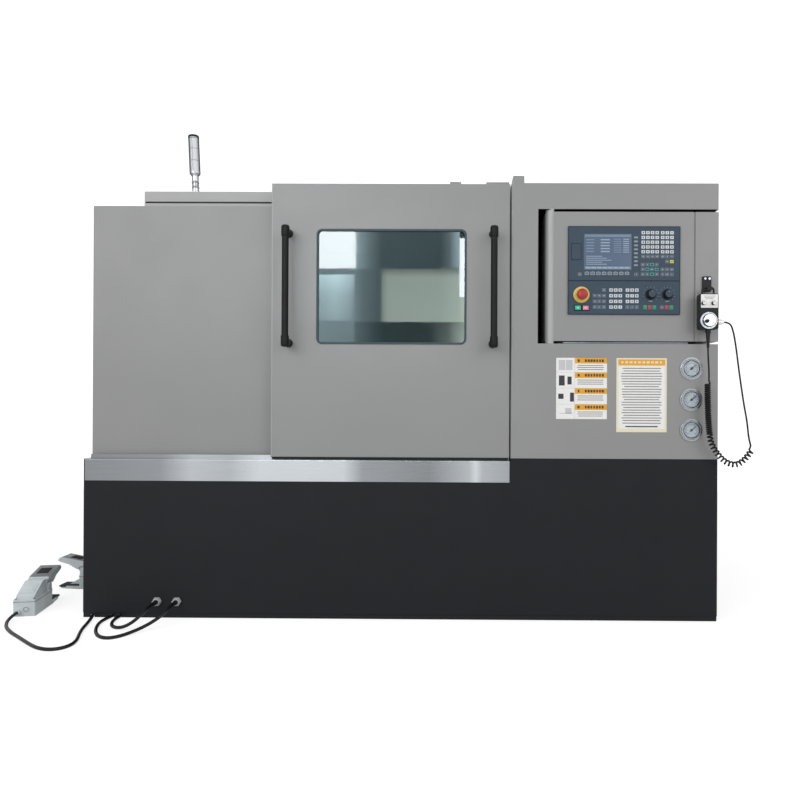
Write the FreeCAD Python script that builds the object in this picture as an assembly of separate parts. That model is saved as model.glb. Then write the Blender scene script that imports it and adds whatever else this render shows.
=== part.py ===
import FreeCAD, Part

import math
import os

# A full-enclosure slant-bed CNC turning lathe, in millimetres.
# The origin lies on the floor, in the middle of the base. +X runs along the spindle to the
# operator's right, +Y to the back of the machine and +Z up.

V = FreeCAD.Vector

# ---------------------------------------------------------------- fits and sheet
SHEET = 3.0                 # folded sheet of the covers
RUN_FIT = 0.05              # radial clearance of shafts and guided faces
SLIDE_GAP = 0.3             # clearance of loose guides
BEND = 6.0                  # outer radius of the sheet's folds

# ---------------------------------------------------------------- base
BASE_X = 1190.0             # half length
FRONT_Y = -750.0
BACK_Y = 750.0
FOOT_GAP = 20.0             # floor to the underside of the base
LEDGE_Z = 597.0             # top of the base left of the control cabinet
PLINTH_Z = 607.0            # top of the base under the control cabinet
STRIP_BOTTOM_Z = 516.0
STRIP_X0 = -1183.0
STRIP_LEDGE = 110.0         # depth of the stainless ledge
GUIDE_WIDTH = 6.0           # ridge that keeps the door's foot in line
GUIDE_HEIGHT = 16.0
WELL_DEPTH = 260.0          # pocket for the chip tray
WELL_X0 = -465.0
WELL_X1 = 398.0
WELL_FRONT_SETBACK = 60.0
TRAY_WALL = 2.5
TRAY_GAP = 0.5
TRAY_FALL = 60.0            # slope of the tray's floor over its length

# levelling feet
FOOT_X = 1085.0
FOOT_Y = 540.0
FOOT_PAD_LENGTH = 130.0
FOOT_PAD_WIDTH = 90.0
FOOT_PAD_HEIGHT = 14.0
FOOT_STEM_R = 12.0
FOOT_STEM_REACH = 60.0
ANCHOR_R = 8.5
ANCHOR_OFFSET = 50.0        # from a foot's stem out to its anchor hole
POCKET_DEPTH = 85.0         # wrench pocket over the anchor hole
POCKET_HEIGHT = 120.0

# ---------------------------------------------------------------- spindle and slant bed
SPINDLE_Y = -290.0
SPINDLE_Z = 1040.0
CENTRE_HEIGHT = 250.0       # spindle axis above the bed's face
BED_ANGLE = math.radians(45.0)
BED_X0 = -900.0
BED_X1 = 400.0
BED_LOW_S = -235.0          # lower edge of the bed's face, up the slope from the spindle
BED_HIGH_S = 350.0
BED_BACK_Y = 300.0
RAIL_X0 = -470.0
CARRIAGE_RAIL_S = (60.0, 320.0)
CARRIAGE_RAIL_W = 34.0
CARRIAGE_RAIL_H = 40.0
TAIL_RAIL_S = (-210.0, -70.0)
TAIL_RAIL_W = 30.0
TAIL_RAIL_H = 28.0
RAIL_WAIST = 5.0

HEADSTOCK_X0 = -880.0
HEADSTOCK_X1 = -495.0
HEADSTOCK_HALF = 150.0
NOSE_R = 110.0
NOSE_X1 = -476.0
SPINDLE_R = 60.0
SPINDLE_BORE_R = 26.0
SPINDLE_FLANGE_R = 92.0
PULLEY_X = -955.0
PULLEY_WIDTH = 50.0
SPINDLE_PULLEY_R = 75.0
MOTOR_PULLEY_R = 55.0
BELT_THICK = 6.0
MOTOR_Y = -480.0
MOTOR_Z = 790.0
MOTOR_R = 125.0
MOTOR_LENGTH = 300.0
MOTOR_SHAFT_R = 19.0
CHUCK_X0 = -455.0
CHUCK_LENGTH = 120.0
CHUCK_R = 105.0
JAW_WIDTH = 24.0
JAW_SLOT = 12.0
JAW_INNER_R = 32.0
JAW_OUTER_R = 94.0

# carriage, cross slide and turret
CARRIAGE_X0 = 90.0
CARRIAGE_X1 = 340.0
CARRIAGE_S0 = 30.0
CARRIAGE_S1 = 520.0
CARRIAGE_TOP_N = 100.0
PLATE_UNDER_N = 42.0
CROSS_RAIL_X = (138.0, 288.0)
CROSS_RAIL_W = 36.0
CROSS_RAIL_H = 30.0
CROSS_S0 = 250.0
CROSS_S1 = 510.0
CROSS_TOP_N = 170.0
TURRET_S = 380.0
DISC_X0 = 0.0
DISC_THICK = 80.0
DISC_FLAT_R = 150.0         # centre to a tool flat
STATIONS = 8
TOOL_BLOCK_H = 34.0
TOOL_BLOCK_W = 62.0
TOOL_SHANK = 20.0
TURRET_SHAFT_R = 40.0
HOUSING_X1 = 300.0
SCREW_S = 190.0
SCREW_N = 22.0
SCREW_R = 16.0
SCREW_JOURNAL_R = 12.0

# tailstock
TAIL_X0 = 230.0
TAIL_X1 = 390.0
QUILL_R = 35.0
QUILL_BARREL_R = 66.0
QUILL_OUT = 55.0            # quill standing out of its barrel at rest
QUILL_DEPTH = 140.0         # bore behind the barrel's front face
CENTRE_LENGTH = 45.0

# ---------------------------------------------------------------- covers and door
COVER_SETBACK = 50.0        # cover and door behind the base's front
COVER_X1 = -480.0
COVER_TOP_Z = 1562.0
COVER_BACK_Y = 700.0
RAIL_BOX_X0 = -1008.0
RAIL_BOX_Y = -650.0
RAIL_BOX_DEPTH = 100.0
RAIL_BOX_HEIGHT = 72.0
RAIL_SLOT_RISE = 25.0       # slot over the rail box's underside
TONGUE = 6.0                # thickness of the door's hanger tongues
TONGUE_REACH = 40.0
INNER_SHEET_Y = 330.0
ROOF_RISE = 42.0            # roof over the left cover's top
LOUVRES = 9
LOUVRE_PITCH = 32.0
LOUVRE_LENGTH = 260.0
LOUVRE_HEIGHT = 8.0

DOOR_X0 = -487.0
DOOR_X1 = 411.0
DOOR_BOTTOM_Z = 607.0
DOOR_OVER_RAIL = 3.0        # door's top edge over the rail box
DOOR_THICK = 40.0
DOOR_FRONT_Y = -742.0
WINDOW_X0 = -317.0
WINDOW_X1 = 248.0
WINDOW_Z0 = 1032.0
WINDOW_Z1 = 1466.0
WINDOW_CORNER = 22.0
SEAL_WIDTH = 5.0
SEAL_LIP = 3.0
GLASS_THICK = 12.0
HANGERS = ((-255.0, 60.0, 9.0), (184.0, 43.0, 20.0), (322.0, 88.0, 19.0))    # x, width, rise over the door
HANGER_THICK = 5.0
HANDLE_X = (-421.0, 347.0)
HANDLE_Z0 = 1017.0
HANDLE_Z1 = 1465.0
HANDLE_R = 12.5
HANDLE_STAND = 60.0
HANDLE_FOOT = 35.0

# ---------------------------------------------------------------- control cabinet
CABINET_X0 = 415.0
CABINET_TOP_Z = 1638.0
RECESS_X0 = 514.5
RECESS_Z0 = 1037.0
RECESS_Z1 = 1541.0
RECESS_DEPTH = 250.0
POST_X0 = 417.0
POST_X1 = 463.0
POST_HEIGHT = 29.0
POST_SLOPE = 4.0
GAUGE_X = 1087.3
GAUGE_Z = (945.8, 829.5, 715.9)
GAUGE_FLANGE_R = 41.5
GAUGE_BEZEL_R = 36.5
GAUGE_BODY_R = 31.0
GAUGE_FLANGE_THICK = 4.0
GAUGE_FRONT = 11.0          # bezel's rim ahead of the cabinet's face
GAUGE_DIAL = 6.0            # dial ahead of the cabinet's face
GAUGE_BACK = 28.0
GAUGE_PORT_R = 7.0
GAUGE_PORT = 27.0
NEEDLE_LENGTH = 22.0
NEEDLE_TURN = 40.0          # degrees, up from level

HYDRAULIC_X = (640.0, 1080.0)
HYDRAULIC_Y = (60.0, 400.0)
TANK_HEIGHT = 230.0
TANK_CORNER = 15.0
TANK_MARGIN = 40.0
PUMP_MOTOR_R = 80.0
PUMP_MOTOR_HEIGHT = 260.0
MANIFOLD_LENGTH = 130.0
MANIFOLD_WIDTH = 200.0
MANIFOLD_HEIGHT = 110.0
FILLER_R = 25.0
FILLER_HEIGHT = 50.0

BOX_GAP_LEFT = 30.0
BOX_GAP_END = 10.0          # over and under the control box
BOX_DEPTH = 150.0
BOX_CORNER = 30.0
SWIVEL_FROM_LEFT = 70.0
SWIVEL_PIN_R = 15.0
SEAM_X = 1096.0
SEAM_WIDTH = 6.0
PANEL_THICK = 6.0
PANEL_X0 = 626.0
PANEL_X1 = 1043.5
PANEL_TOP_Z = 1475.5
PANEL_SPLIT_Z = 1272.0
PANEL_BOTTOM_Z = 1146.0
SCREEN_X = 685.0
SCREEN_WIDTH = 178.0
SCREEN_TOP_DROP = 27.8
SCREEN_HEIGHT = 135.0
KEY = 13.0                  # width of a key pad
KEY_LOW = 11.0              # and its height
KEY_RISE = 1.0
KEY_PITCH = 17.2
ROW_PITCH = 17.8
LOW_ROW_PITCH = 18.0
MACHINE_ROW_PITCH = 21.2
# Key groups: first key's centre from the panel's upper left corner, columns, rows, pitches, size.
DISPLAY_KEYS = (
    (279.4, 24.0, 4, 6, KEY_PITCH, ROW_PITCH, KEY, KEY_LOW),
    (351.6, 24.0, 3, 6, KEY_PITCH, ROW_PITCH, KEY, KEY_LOW),
    (368.6, 131.6, 2, 1, KEY_PITCH, ROW_PITCH, KEY, KEY_LOW),
    (277.8, 143.2, 4, 3, KEY_PITCH, LOW_ROW_PITCH, KEY, KEY_LOW),
    (351.6, 161.2, 3, 2, KEY_PITCH, LOW_ROW_PITCH, KEY, KEY_LOW),
    (252.0, 42.0, 1, 8, KEY_PITCH, 14.8, 17.0, 9.0),
    (70.0, 176.6, 8, 1, 21.3, ROW_PITCH, 16.0, 8.0),
    (43.2, 180.0, 1, 1, KEY_PITCH, ROW_PITCH, KEY, KEY_LOW),
    (253.6, 180.0, 1, 1, KEY_PITCH, ROW_PITCH, KEY, KEY_LOW),
    (30.0, 95.0, 1, 1, KEY_PITCH, ROW_PITCH, 38.0, 62.0),
)
MACHINE_KEYS = (
    (133.6, 35.0, 1, 1, KEY_PITCH, MACHINE_ROW_PITCH, KEY, KEY_LOW),
    (99.2, 56.2, 3, 3, KEY_PITCH, MACHINE_ROW_PITCH, KEY, KEY_LOW),
    (160.2, 35.0, 3, 4, KEY_PITCH, MACHINE_ROW_PITCH, KEY, KEY_LOW),
    (221.4, 35.0, 3, 4, KEY_PITCH, MACHINE_ROW_PITCH, KEY, KEY_LOW),
    (287.0, 99.0, 3, 1, KEY_PITCH, MACHINE_ROW_PITCH, KEY, KEY_LOW),
    (349.6, 99.0, 3, 1, 17.4, MACHINE_ROW_PITCH, KEY, KEY_LOW),
)

ESTOP_X = 675.8
ESTOP_Z = 1219.2
ESTOP_RING_R = 30.0
ESTOP_HEAD_R = 20.0
ESTOP_STEM_R = 11.0
BUTTONS = (("start_button", 662.3), ("stop_button", 691.6))
BUTTON_Z = 1170.4
BUTTON_W = 21.0
BUTTON_H = 15.0
BUTTON_RISE = 4.0
BUTTON_TRAVEL = 1.5
KNOBS = (("feed_knob", 934.0), ("speed_knob", 996.2))
KNOB_Z = 1221.3
KNOB_R = 19.5
KNOB_HEIGHT = 18.0

# hand pendant and its cord
PENDANT_X = 1132.0
PENDANT_WIDTH = 68.0
PENDANT_Z0 = 1086.5
PENDANT_Z1 = 1217.0
PENDANT_BACK_Y = -776.5
PENDANT_THICK = 32.0
WHEEL_X = 1128.5
WHEEL_Z = 1118.4
WHEEL_R = 31.0
SMALL_KNOBS = (("axis_knob", 1109.0), ("rate_knob", 1145.6))
SMALL_KNOB_Z = 1181.5
SMALL_KNOB_R = 6.0
PENDANT_CORD_D = 6.5
COIL_D = 24.0
COIL_PITCH = 7.8
COIL_TURNS = 24
LOOSE_PITCH = 14.0
CORD_SIDES = 6
RELIEF_LENGTH = 67.5
RELIEF_X = 1134.0
BAIL_RISE = 23.0
BAIL_R = 3.5
HOOK_X = (1127.0, 1159.5)   # hanger plate on the control box
HOOK_PLATE = 53.0           # its height over the hook
SOCKET_Y = -700.0
SOCKET_Z = 1125.4
SOCKET_R = 11.0
SOCKET_LENGTH = 37.0

# ---------------------------------------------------------------- signal lamp
LAMP_X = -825.0
LAMP_Y = -600.0
LAMP_R = 21.0
LAMP_FOOT_R = 13.0
LAMP_COLLAR = 88.0          # foot to the lowest lens
LAMP_HEIGHT = 236.0
LAMP_LEAN = 2.7             # degrees, to the left

# ---------------------------------------------------------------- foot switches
PEDAL_WIDTH = 79.0
PEDAL_CASE_LENGTH = 160.0
PEDAL_LENGTH = 250.0
PEDAL_CASE_HEIGHT = 54.0
PEDAL_FLANGE = 8.0
PEDAL_COVER_TOP = 112.0
TREADLE_WIDTH = 74.0
TREADLE_PIVOT = (143.0, 78.0)
TREADLE_PIN_R = 6.0
FRONT_PEDAL_OUT = 226.0     # cord end, out from the base's left side
REAR_PEDAL_OUT = 60.0
FRONT_PEDAL = (V(-BASE_X - FRONT_PEDAL_OUT, -739, 0), 9.0)
REAR_PEDAL = (V(-BASE_X - REAR_PEDAL_OUT, -325, 0), 90.0)
PEDAL_CORD_D = 12.0
PEDAL_CORD_Z = 18.0         # cord entry above the floor
PEDAL_CORD_V = -20.0        # cord entry to the left of the case's middle
PEDAL_INLET = 14.0
GLANDS = (-833.0, -907.0)
GLAND_Z = 64.0
GLAND_R = 13.0
GLAND_CORE_R = 9.1
GLAND_NUT = 14.0
GLAND_LENGTH = 35.0
GLAND_DEPTH = 20.0          # hole behind the base's face
CORD_RUN = 38.0             # straight run of a cord out of its gland or inlet
REAR_CORD_RUN = 22.0        # and of the rear one, which dips under the base


# ---------------------------------------------------------------- derived places
COVER_Y = FRONT_Y + COVER_SETBACK
DOOR_BACK_Y = DOOR_FRONT_Y + DOOR_THICK
RAIL_BOX_TOP_Z = COVER_TOP_Z + RAIL_BOX_HEIGHT
RAIL_SLOT_Z = COVER_TOP_Z + RAIL_SLOT_RISE
ROOF_Z = COVER_TOP_Z + ROOF_RISE
DOOR_TOP_Z = RAIL_BOX_TOP_Z + DOOR_OVER_RAIL
CHUCK_X1 = CHUCK_X0 + CHUCK_LENGTH
BOX_X0 = RECESS_X0 + BOX_GAP_LEFT
BOX_Z0 = RECESS_Z0 + BOX_GAP_END
BOX_Z1 = RECESS_Z1 - BOX_GAP_END
PANEL_FACE_Y = FRONT_Y - PANEL_THICK
PENDANT_FACE_Y = PENDANT_BACK_Y - PENDANT_THICK
BED_ORIGIN_Y = SPINDLE_Y + CENTRE_HEIGHT * math.sin(BED_ANGLE)
BED_ORIGIN_Z = SPINDLE_Z - CENTRE_HEIGHT * math.cos(BED_ANGLE)
HEAD_N = CENTRE_HEIGHT + HEADSTOCK_HALF


# ---------------------------------------------------------------- helpers
def box(x0, x1, y0, y1, z0, z1):
    return Part.makeBox(x1 - x0, y1 - y0, z1 - z0, V(x0, y0, z0))


def rod(start, end, radius):
    along = end - start
    return Part.makeCylinder(radius, along.Length, start, along)


def x_rod(x0, x1, y, z, radius):
    return rod(V(x0, y, z), V(x1, y, z), radius)


def y_rod(x, y0, y1, z, radius):
    return rod(V(x, y0, z), V(x, y1, z), radius)


def z_rod(x, y, z0, z1, radius):
    return rod(V(x, y, z0), V(x, y, z1), radius)


def on_floor(z):
    return lambda a, b: V(a, b, z)


def facing_front(y):
    return lambda a, b: V(a, y, b)


def facing_side(x):
    return lambda a, b: V(x, a, b)


def slant(x, s, n):
    """Place by X, by the way up the bed's slope and by the height over the bed's face."""
    y = BED_ORIGIN_Y + s * math.cos(BED_ANGLE) - n * math.sin(BED_ANGLE)
    z = BED_ORIGIN_Z + s * math.sin(BED_ANGLE) + n * math.cos(BED_ANGLE)
    return V(x, y, z)


def across_bed(x):
    return lambda s, n: slant(x, s, n)


def rect(a0, a1, b0, b1):
    return [(a0, b0), (a1, b0), (a1, b1), (a0, b1)]


def corner(before, here, after, radius):
    """Start, middle and end of the arc that rounds one corner of an outline."""
    back = (before - here).normalize()
    ahead = (after - here).normalize()
    half = back.getAngle(ahead) / 2
    reach = radius / math.tan(half)
    inward = (back + ahead).normalize()
    middle = here + inward * (radius / math.sin(half) - radius)
    return here + back * reach, middle, here + ahead * reach


def loop(points, place, radii=0.0):
    """A closed wire through flat points, its corners rounded by one radius or by a list."""
    spots = [place(a, b) for a, b in points]
    count = len(spots)
    if not isinstance(radii, (list, tuple)):
        radii = [radii] * count
    ends = []
    arcs = []
    for i in range(count):
        if radii[i] > 0:
            start, middle, end = corner(spots[i - 1], spots[i], spots[(i + 1) % count], radii[i])
            arcs.append(Part.Arc(start, middle, end).toShape())
            ends.append((start, end))
        else:
            arcs.append(None)
            ends.append((spots[i], spots[i]))
    edges = []
    for i in range(count):
        leave = ends[i - 1][1]
        reach = ends[i][0]
        if leave.distanceToPoint(reach) > 1e-4:
            edges.append(Part.LineSegment(leave, reach).toShape())
        if arcs[i]:
            edges.append(arcs[i])
    return Part.Wire(edges)


def prism(points, place, along, radii=0.0):
    return Part.Face(loop(points, place, radii)).extrude(along)


def plate(x0, x1, y0, y1, z0, z1, radii=0.0):
    """An upright plate that faces the operator, with rounded corners."""
    return prism(rect(x0, x1, z0, z1), facing_front(y0), V(0, y1 - y0, 0), radii)


def column(x0, x1, y0, y1, z0, z1, radii=0.0):
    """A block with rounded upright edges."""
    return prism(rect(x0, x1, y0, y1), on_floor(z0), V(0, 0, z1 - z0), radii)


def across(points, x0, x1, radii=0.0):
    """A prism along X over an outline on the bed's slope."""
    return prism(points, across_bed(x0), V(x1 - x0, 0, 0), radii)


def turned(points, origin, axis, side):
    """A solid of revolution: points are (way along the axis, radius)."""
    spots = [origin + axis * along + side * out for along, out in points]
    face = Part.Face(Part.makePolygon(spots + [spots[0]]))
    return face.revolve(origin, axis, 360)


def join(shapes):
    shapes = list(shapes)
    return shapes[0].multiFuse(shapes[1:]).removeSplitter()


def cut(shape, tools):
    return shape.cut(Part.makeCompound(list(tools)))


def turn(shape, centre, axis, degrees):
    copy = shape.copy()
    copy.rotate(centre, axis, degrees)
    return copy


def bent_rod(points, radius, bend):
    """Round rod through points, bent to one radius at each corner."""
    edges = []
    leave = points[0]
    for before, here, after in zip(points, points[1:], points[2:]):
        start, middle, end = corner(before, here, after, bend)
        edges.append(Part.LineSegment(leave, start).toShape())
        edges.append(Part.Arc(start, middle, end).toShape())
        leave = end
    edges.append(Part.LineSegment(leave, points[-1]).toShape())
    section = Part.Wire([Part.Circle(points[0], points[1] - points[0], radius).toShape()])
    return Part.Wire(edges).makePipeShell([section], True, False)


def save(node, *solids):
    shape = solids[0] if len(solids) == 1 else Part.makeCompound(list(solids))
    found = shape.Solids
    if not found or min(s.Volume for s in found) <= 0 or not shape.isValid():
        print("CHECK", node, len(found), [round(s.Volume) for s in found], shape.isValid())
    if len(found) == 1:
        shape = found[0]
    shape.exportStep("parts/%s.step" % node)


# ---------------------------------------------------------------- standing structure
def bed_outline(grow=0.0):
    """The bed's section in Y and Z, grown outwards by a clearance."""
    front_y = slant(0, BED_LOW_S, 0).y - grow
    top_z = slant(0, BED_HIGH_S, 0).z + grow
    cos, sin = math.cos(BED_ANGLE), math.sin(BED_ANGLE)
    low_s = (front_y - BED_ORIGIN_Y + grow * sin) / cos
    high_s = (top_z - BED_ORIGIN_Z - grow * cos) / sin
    low = slant(0, low_s, grow)
    high = slant(0, high_s, grow)
    back_y = BED_BACK_Y + grow
    return [(front_y, LEDGE_Z), (low.y, low.z), (high.y, high.z), (back_y, top_z), (back_y, LEDGE_Z)]


def well_y1():
    return bed_outline()[0][0] - 6


def foot_places():
    """Each foot's stem and the side that its anchor hole lies on."""
    corners = [(sx * FOOT_X, sy * FOOT_Y, sx) for sx in (-1, 1) for sy in (-1, 1)]
    return corners + [(0.0, -FOOT_Y, 0), (0.0, FOOT_Y, 0)]


def machine_base():
    body = column(-BASE_X, BASE_X, FRONT_Y, BACK_Y, FOOT_GAP, PLINTH_Z, 8)
    over = box(-BASE_X - 1, CABINET_X0, FRONT_Y - 1, BACK_Y + 1, LEDGE_Z, PLINTH_Z + 1)
    band = box(STRIP_X0, DOOR_X1, FRONT_Y - 1, FRONT_Y + SHEET, STRIP_BOTTOM_Z, LEDGE_Z + 1)
    shelf = box(STRIP_X0, DOOR_X1, FRONT_Y, FRONT_Y + STRIP_LEDGE, LEDGE_Z - SHEET, LEDGE_Z + 1)
    well = column(WELL_X0, WELL_X1, FRONT_Y + WELL_FRONT_SETBACK, well_y1(),
                  LEDGE_Z - WELL_DEPTH, LEDGE_Z + 1, 12)
    tools = [over, band, shelf, well]
    for x, y, side in foot_places():
        tools.append(z_rod(x, y, FOOT_GAP, FOOT_GAP + FOOT_STEM_REACH, FOOT_STEM_R + RUN_FIT))
        if side:
            inner = side * (BASE_X - POCKET_DEPTH)
            outer = side * (BASE_X + 1)
            half = FOOT_PAD_WIDTH / 2
            tools.append(box(min(inner, outer), max(inner, outer), y - half, y + half,
                             FOOT_GAP - 1, FOOT_GAP + POCKET_HEIGHT))
    for x in GLANDS:
        tools.append(y_rod(x, FRONT_Y - 1, FRONT_Y + GLAND_DEPTH, GLAND_Z, GLAND_CORE_R))
    save("machine_base", cut(body, tools))


def levelling_feet():
    feet = []
    for x, y, side in foot_places():
        half = FOOT_PAD_LENGTH / 2
        middle = x + side * (ANCHOR_OFFSET - 20) / 2
        width = FOOT_PAD_WIDTH / 2
        pad = column(middle - half, middle + half, y - width, y + width, 0, FOOT_PAD_HEIGHT, 14)
        stem = z_rod(x, y, 0, FOOT_GAP + FOOT_STEM_REACH - 1, FOOT_STEM_R)
        nut_edge = 21.0
        ring = [(x + nut_edge * math.cos(k * math.pi / 3), y + nut_edge * math.sin(k * math.pi / 3))
                for k in range(6)]
        nut = prism(ring, on_floor(FOOT_PAD_HEIGHT), V(0, 0, FOOT_GAP - FOOT_PAD_HEIGHT))
        foot = join([pad, stem, nut])
        if side:
            hole = z_rod(x + side * ANCHOR_OFFSET, y, -1, FOOT_PAD_HEIGHT + 1, ANCHOR_R)
            foot = cut(foot, [hole])
        feet.append(foot)
    save("levelling_feet", *feet)


def front_strip():
    """Stainless skin over the base's front edge, with the ridge that guides the door's foot."""
    back_y = FRONT_Y + STRIP_LEDGE
    inner_y = FRONT_Y + SHEET
    inner_z = LEDGE_Z - SHEET
    outline = [(FRONT_Y, STRIP_BOTTOM_Z), (inner_y, STRIP_BOTTOM_Z), (inner_y, inner_z),
               (back_y, inner_z), (back_y, LEDGE_Z), (FRONT_Y, LEDGE_Z)]
    skin = prism(outline, facing_side(STRIP_X0), V(DOOR_X1 - STRIP_X0, 0, 0), [0, 0, 0, 0, 0, SHEET])
    y = (DOOR_FRONT_Y + DOOR_BACK_Y) / 2
    ridge = box(STRIP_X0 + 10, DOOR_X1, y - GUIDE_WIDTH / 2, y + GUIDE_WIDTH / 2,
                LEDGE_Z, LEDGE_Z + GUIDE_HEIGHT)
    save("front_strip", join([skin, ridge]))


def chip_tray():
    x0 = WELL_X0 + TRAY_GAP
    x1 = WELL_X1 - TRAY_GAP
    y0 = FRONT_Y + WELL_FRONT_SETBACK + TRAY_GAP
    y1 = well_y1() - TRAY_GAP
    z0 = LEDGE_Z - WELL_DEPTH
    z1 = LEDGE_Z - SHEET - 4
    body = column(x0, x1, y0, y1, z0, z1, 12 - TRAY_GAP)
    floor = [(x0 + TRAY_WALL, z0 + TRAY_WALL + TRAY_FALL), (x1 - TRAY_WALL, z0 + TRAY_WALL),
             (x1 - TRAY_WALL, z1 + 1), (x0 + TRAY_WALL, z1 + 1)]
    inside = prism(floor, facing_front(y0 + TRAY_WALL), V(0, y1 - y0 - 2 * TRAY_WALL, 0))
    save("chip_tray", cut(body, [inside]))


def slant_bed():
    body = prism(bed_outline(), facing_side(BED_X0), V(BED_X1 - BED_X0, 0, 0), [0, 6, 12, 12, 0])
    blocks = []
    for x0, x1 in ((RAIL_X0, RAIL_X0 + 30), (BED_X1 - 20, BED_X1)):
        blocks.append(across(rect(SCREW_S - 25, SCREW_S + 25, 0, PLATE_UNDER_N - 2), x0, x1, [0, 0, 6, 6]))
    bore = rod(slant(BED_X0 - 1, SCREW_S, SCREW_N), slant(BED_X1 + 1, SCREW_S, SCREW_N),
               SCREW_JOURNAL_R + RUN_FIT)
    foot = across(rect(SCREW_S - 25, SCREW_S + 25, 0, PLATE_UNDER_N - 2), BED_X0, BED_X0 + 20, [0, 0, 6, 6])
    save("slant_bed", cut(join([body, foot] + blocks), [bore]))


def rail_outline(s, width, height, grow=0.0):
    """A linear guide rail: a head on a narrower waist."""
    half = width / 2 + grow
    waist = half - RAIL_WAIST
    low = height * 0.35 + grow
    high = height * 0.6 - grow
    top = height + grow
    return [(s - half, 0), (s + half, 0), (s + half, low - RAIL_WAIST), (s + waist, low),
            (s + waist, high), (s + half, high + RAIL_WAIST), (s + half, top), (s - half, top),
            (s - half, high + RAIL_WAIST), (s - waist, high), (s - waist, low), (s - half, low - RAIL_WAIST)]


def guide_rails():
    rails = []
    for s in CARRIAGE_RAIL_S:
        rails.append(across(rail_outline(s, CARRIAGE_RAIL_W, CARRIAGE_RAIL_H), RAIL_X0, BED_X1 - 2))
    for s in TAIL_RAIL_S:
        rails.append(across(rail_outline(s, TAIL_RAIL_W, TAIL_RAIL_H), RAIL_X0, BED_X1 - 2))
    save("guide_rails", *rails)


def headstock():
    half = HEADSTOCK_HALF
    foot = half + 15
    outline = [(-foot, 0), (foot, 0), (foot, 35), (half, 55), (half, HEAD_N), (-half, HEAD_N),
               (-half, 55), (-foot, 35)]
    body = across(outline, HEADSTOCK_X0, HEADSTOCK_X1, [0, 0, 5, 10, half - 10, half - 10, 10, 5])
    nose = x_rod(HEADSTOCK_X1 - 5, NOSE_X1, SPINDLE_Y, SPINDLE_Z, NOSE_R)
    rear = x_rod(HEADSTOCK_X0 - 12, HEADSTOCK_X0 + 5, SPINDLE_Y, SPINDLE_Z, NOSE_R)
    bore = x_rod(HEADSTOCK_X0 - 20, NOSE_X1 + 1, SPINDLE_Y, SPINDLE_Z, SPINDLE_R + RUN_FIT)
    save("headstock", cut(join([body, nose, rear]), [bore]))


def drive_motors():
    """The spindle motor on its foot and the feed motor behind the long screw."""
    x1 = HEADSTOCK_X0 + MOTOR_LENGTH
    body = x_rod(HEADSTOCK_X0, x1, MOTOR_Y, MOTOR_Z, MOTOR_R)
    cowl = x_rod(x1, x1 + 40, MOTOR_Y, MOTOR_Z, MOTOR_R - 8)
    foot = box(HEADSTOCK_X0 + 20, x1 - 20, MOTOR_Y - 95, MOTOR_Y + 95, LEDGE_Z, MOTOR_Z - 60)
    terminal = box(HEADSTOCK_X0 + 90, HEADSTOCK_X0 + 210, MOTOR_Y - 50, MOTOR_Y + 50, MOTOR_Z + 90,
                   MOTOR_Z + MOTOR_R + 35)
    bore = x_rod(HEADSTOCK_X0 - 1, HEADSTOCK_X0 + 60, MOTOR_Y, MOTOR_Z, MOTOR_SHAFT_R + RUN_FIT)
    main_motor = cut(join([body, cowl, foot, terminal]), [bore])
    feed = across(rect(SCREW_S - 60, SCREW_S + 60, SCREW_N - 60, SCREW_N + 60), BED_X0 - 170, BED_X0, 12)
    feed_bore = rod(slant(BED_X0 - 30, SCREW_S, SCREW_N), slant(BED_X0 + 1, SCREW_S, SCREW_N),
                    SCREW_JOURNAL_R + RUN_FIT)
    save("drive_motors", main_motor, cut(feed, [feed_bore]))


def belt_loop(grow, x):
    """Wire round both pulleys, a given way outside them."""
    centre_a = V(x, SPINDLE_Y, SPINDLE_Z)
    centre_b = V(x, MOTOR_Y, MOTOR_Z)
    radius_a = SPINDLE_PULLEY_R + grow
    radius_b = MOTOR_PULLEY_R + grow
    along = centre_b - centre_a
    lean = math.acos((radius_a - radius_b) / along.Length)
    along.normalize()
    side = V(1, 0, 0).cross(along)

    def spot(centre, radius, angle):
        return centre + (along * math.cos(angle) + side * math.sin(angle)) * radius

    a_left, a_right = spot(centre_a, radius_a, lean), spot(centre_a, radius_a, -lean)
    b_left, b_right = spot(centre_b, radius_b, lean), spot(centre_b, radius_b, -lean)
    edges = [Part.LineSegment(a_left, b_left).toShape(),
             Part.Arc(b_left, spot(centre_b, radius_b, 0), b_right).toShape(),
             Part.LineSegment(b_right, a_right).toShape(),
             Part.Arc(a_right, spot(centre_a, radius_a, math.pi), a_left).toShape()]
    return Part.Wire(edges)


def drive_belt():
    x = PULLEY_X + 3
    length = V(PULLEY_WIDTH - 6, 0, 0)
    outer = Part.Face(belt_loop(SLIDE_GAP + BELT_THICK, x)).extrude(length)
    inner = Part.Face(belt_loop(SLIDE_GAP, x)).extrude(length)
    save("drive_belt", outer.cut(inner))


def pulley(x, y, z, radius):
    wheel = x_rod(x, x + PULLEY_WIDTH, y, z, radius)
    cheeks = [x_rod(x + at, x + at + 2.5, y, z, radius + BELT_THICK + 3)
              for at in (0, PULLEY_WIDTH - 2.5)]
    return [wheel] + cheeks


def motor_pulley():
    shaft = x_rod(PULLEY_X, HEADSTOCK_X0 + 59, MOTOR_Y, MOTOR_Z, MOTOR_SHAFT_R)
    save("motor_pulley", join(pulley(PULLEY_X, MOTOR_Y, MOTOR_Z, MOTOR_PULLEY_R) + [shaft]))


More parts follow.
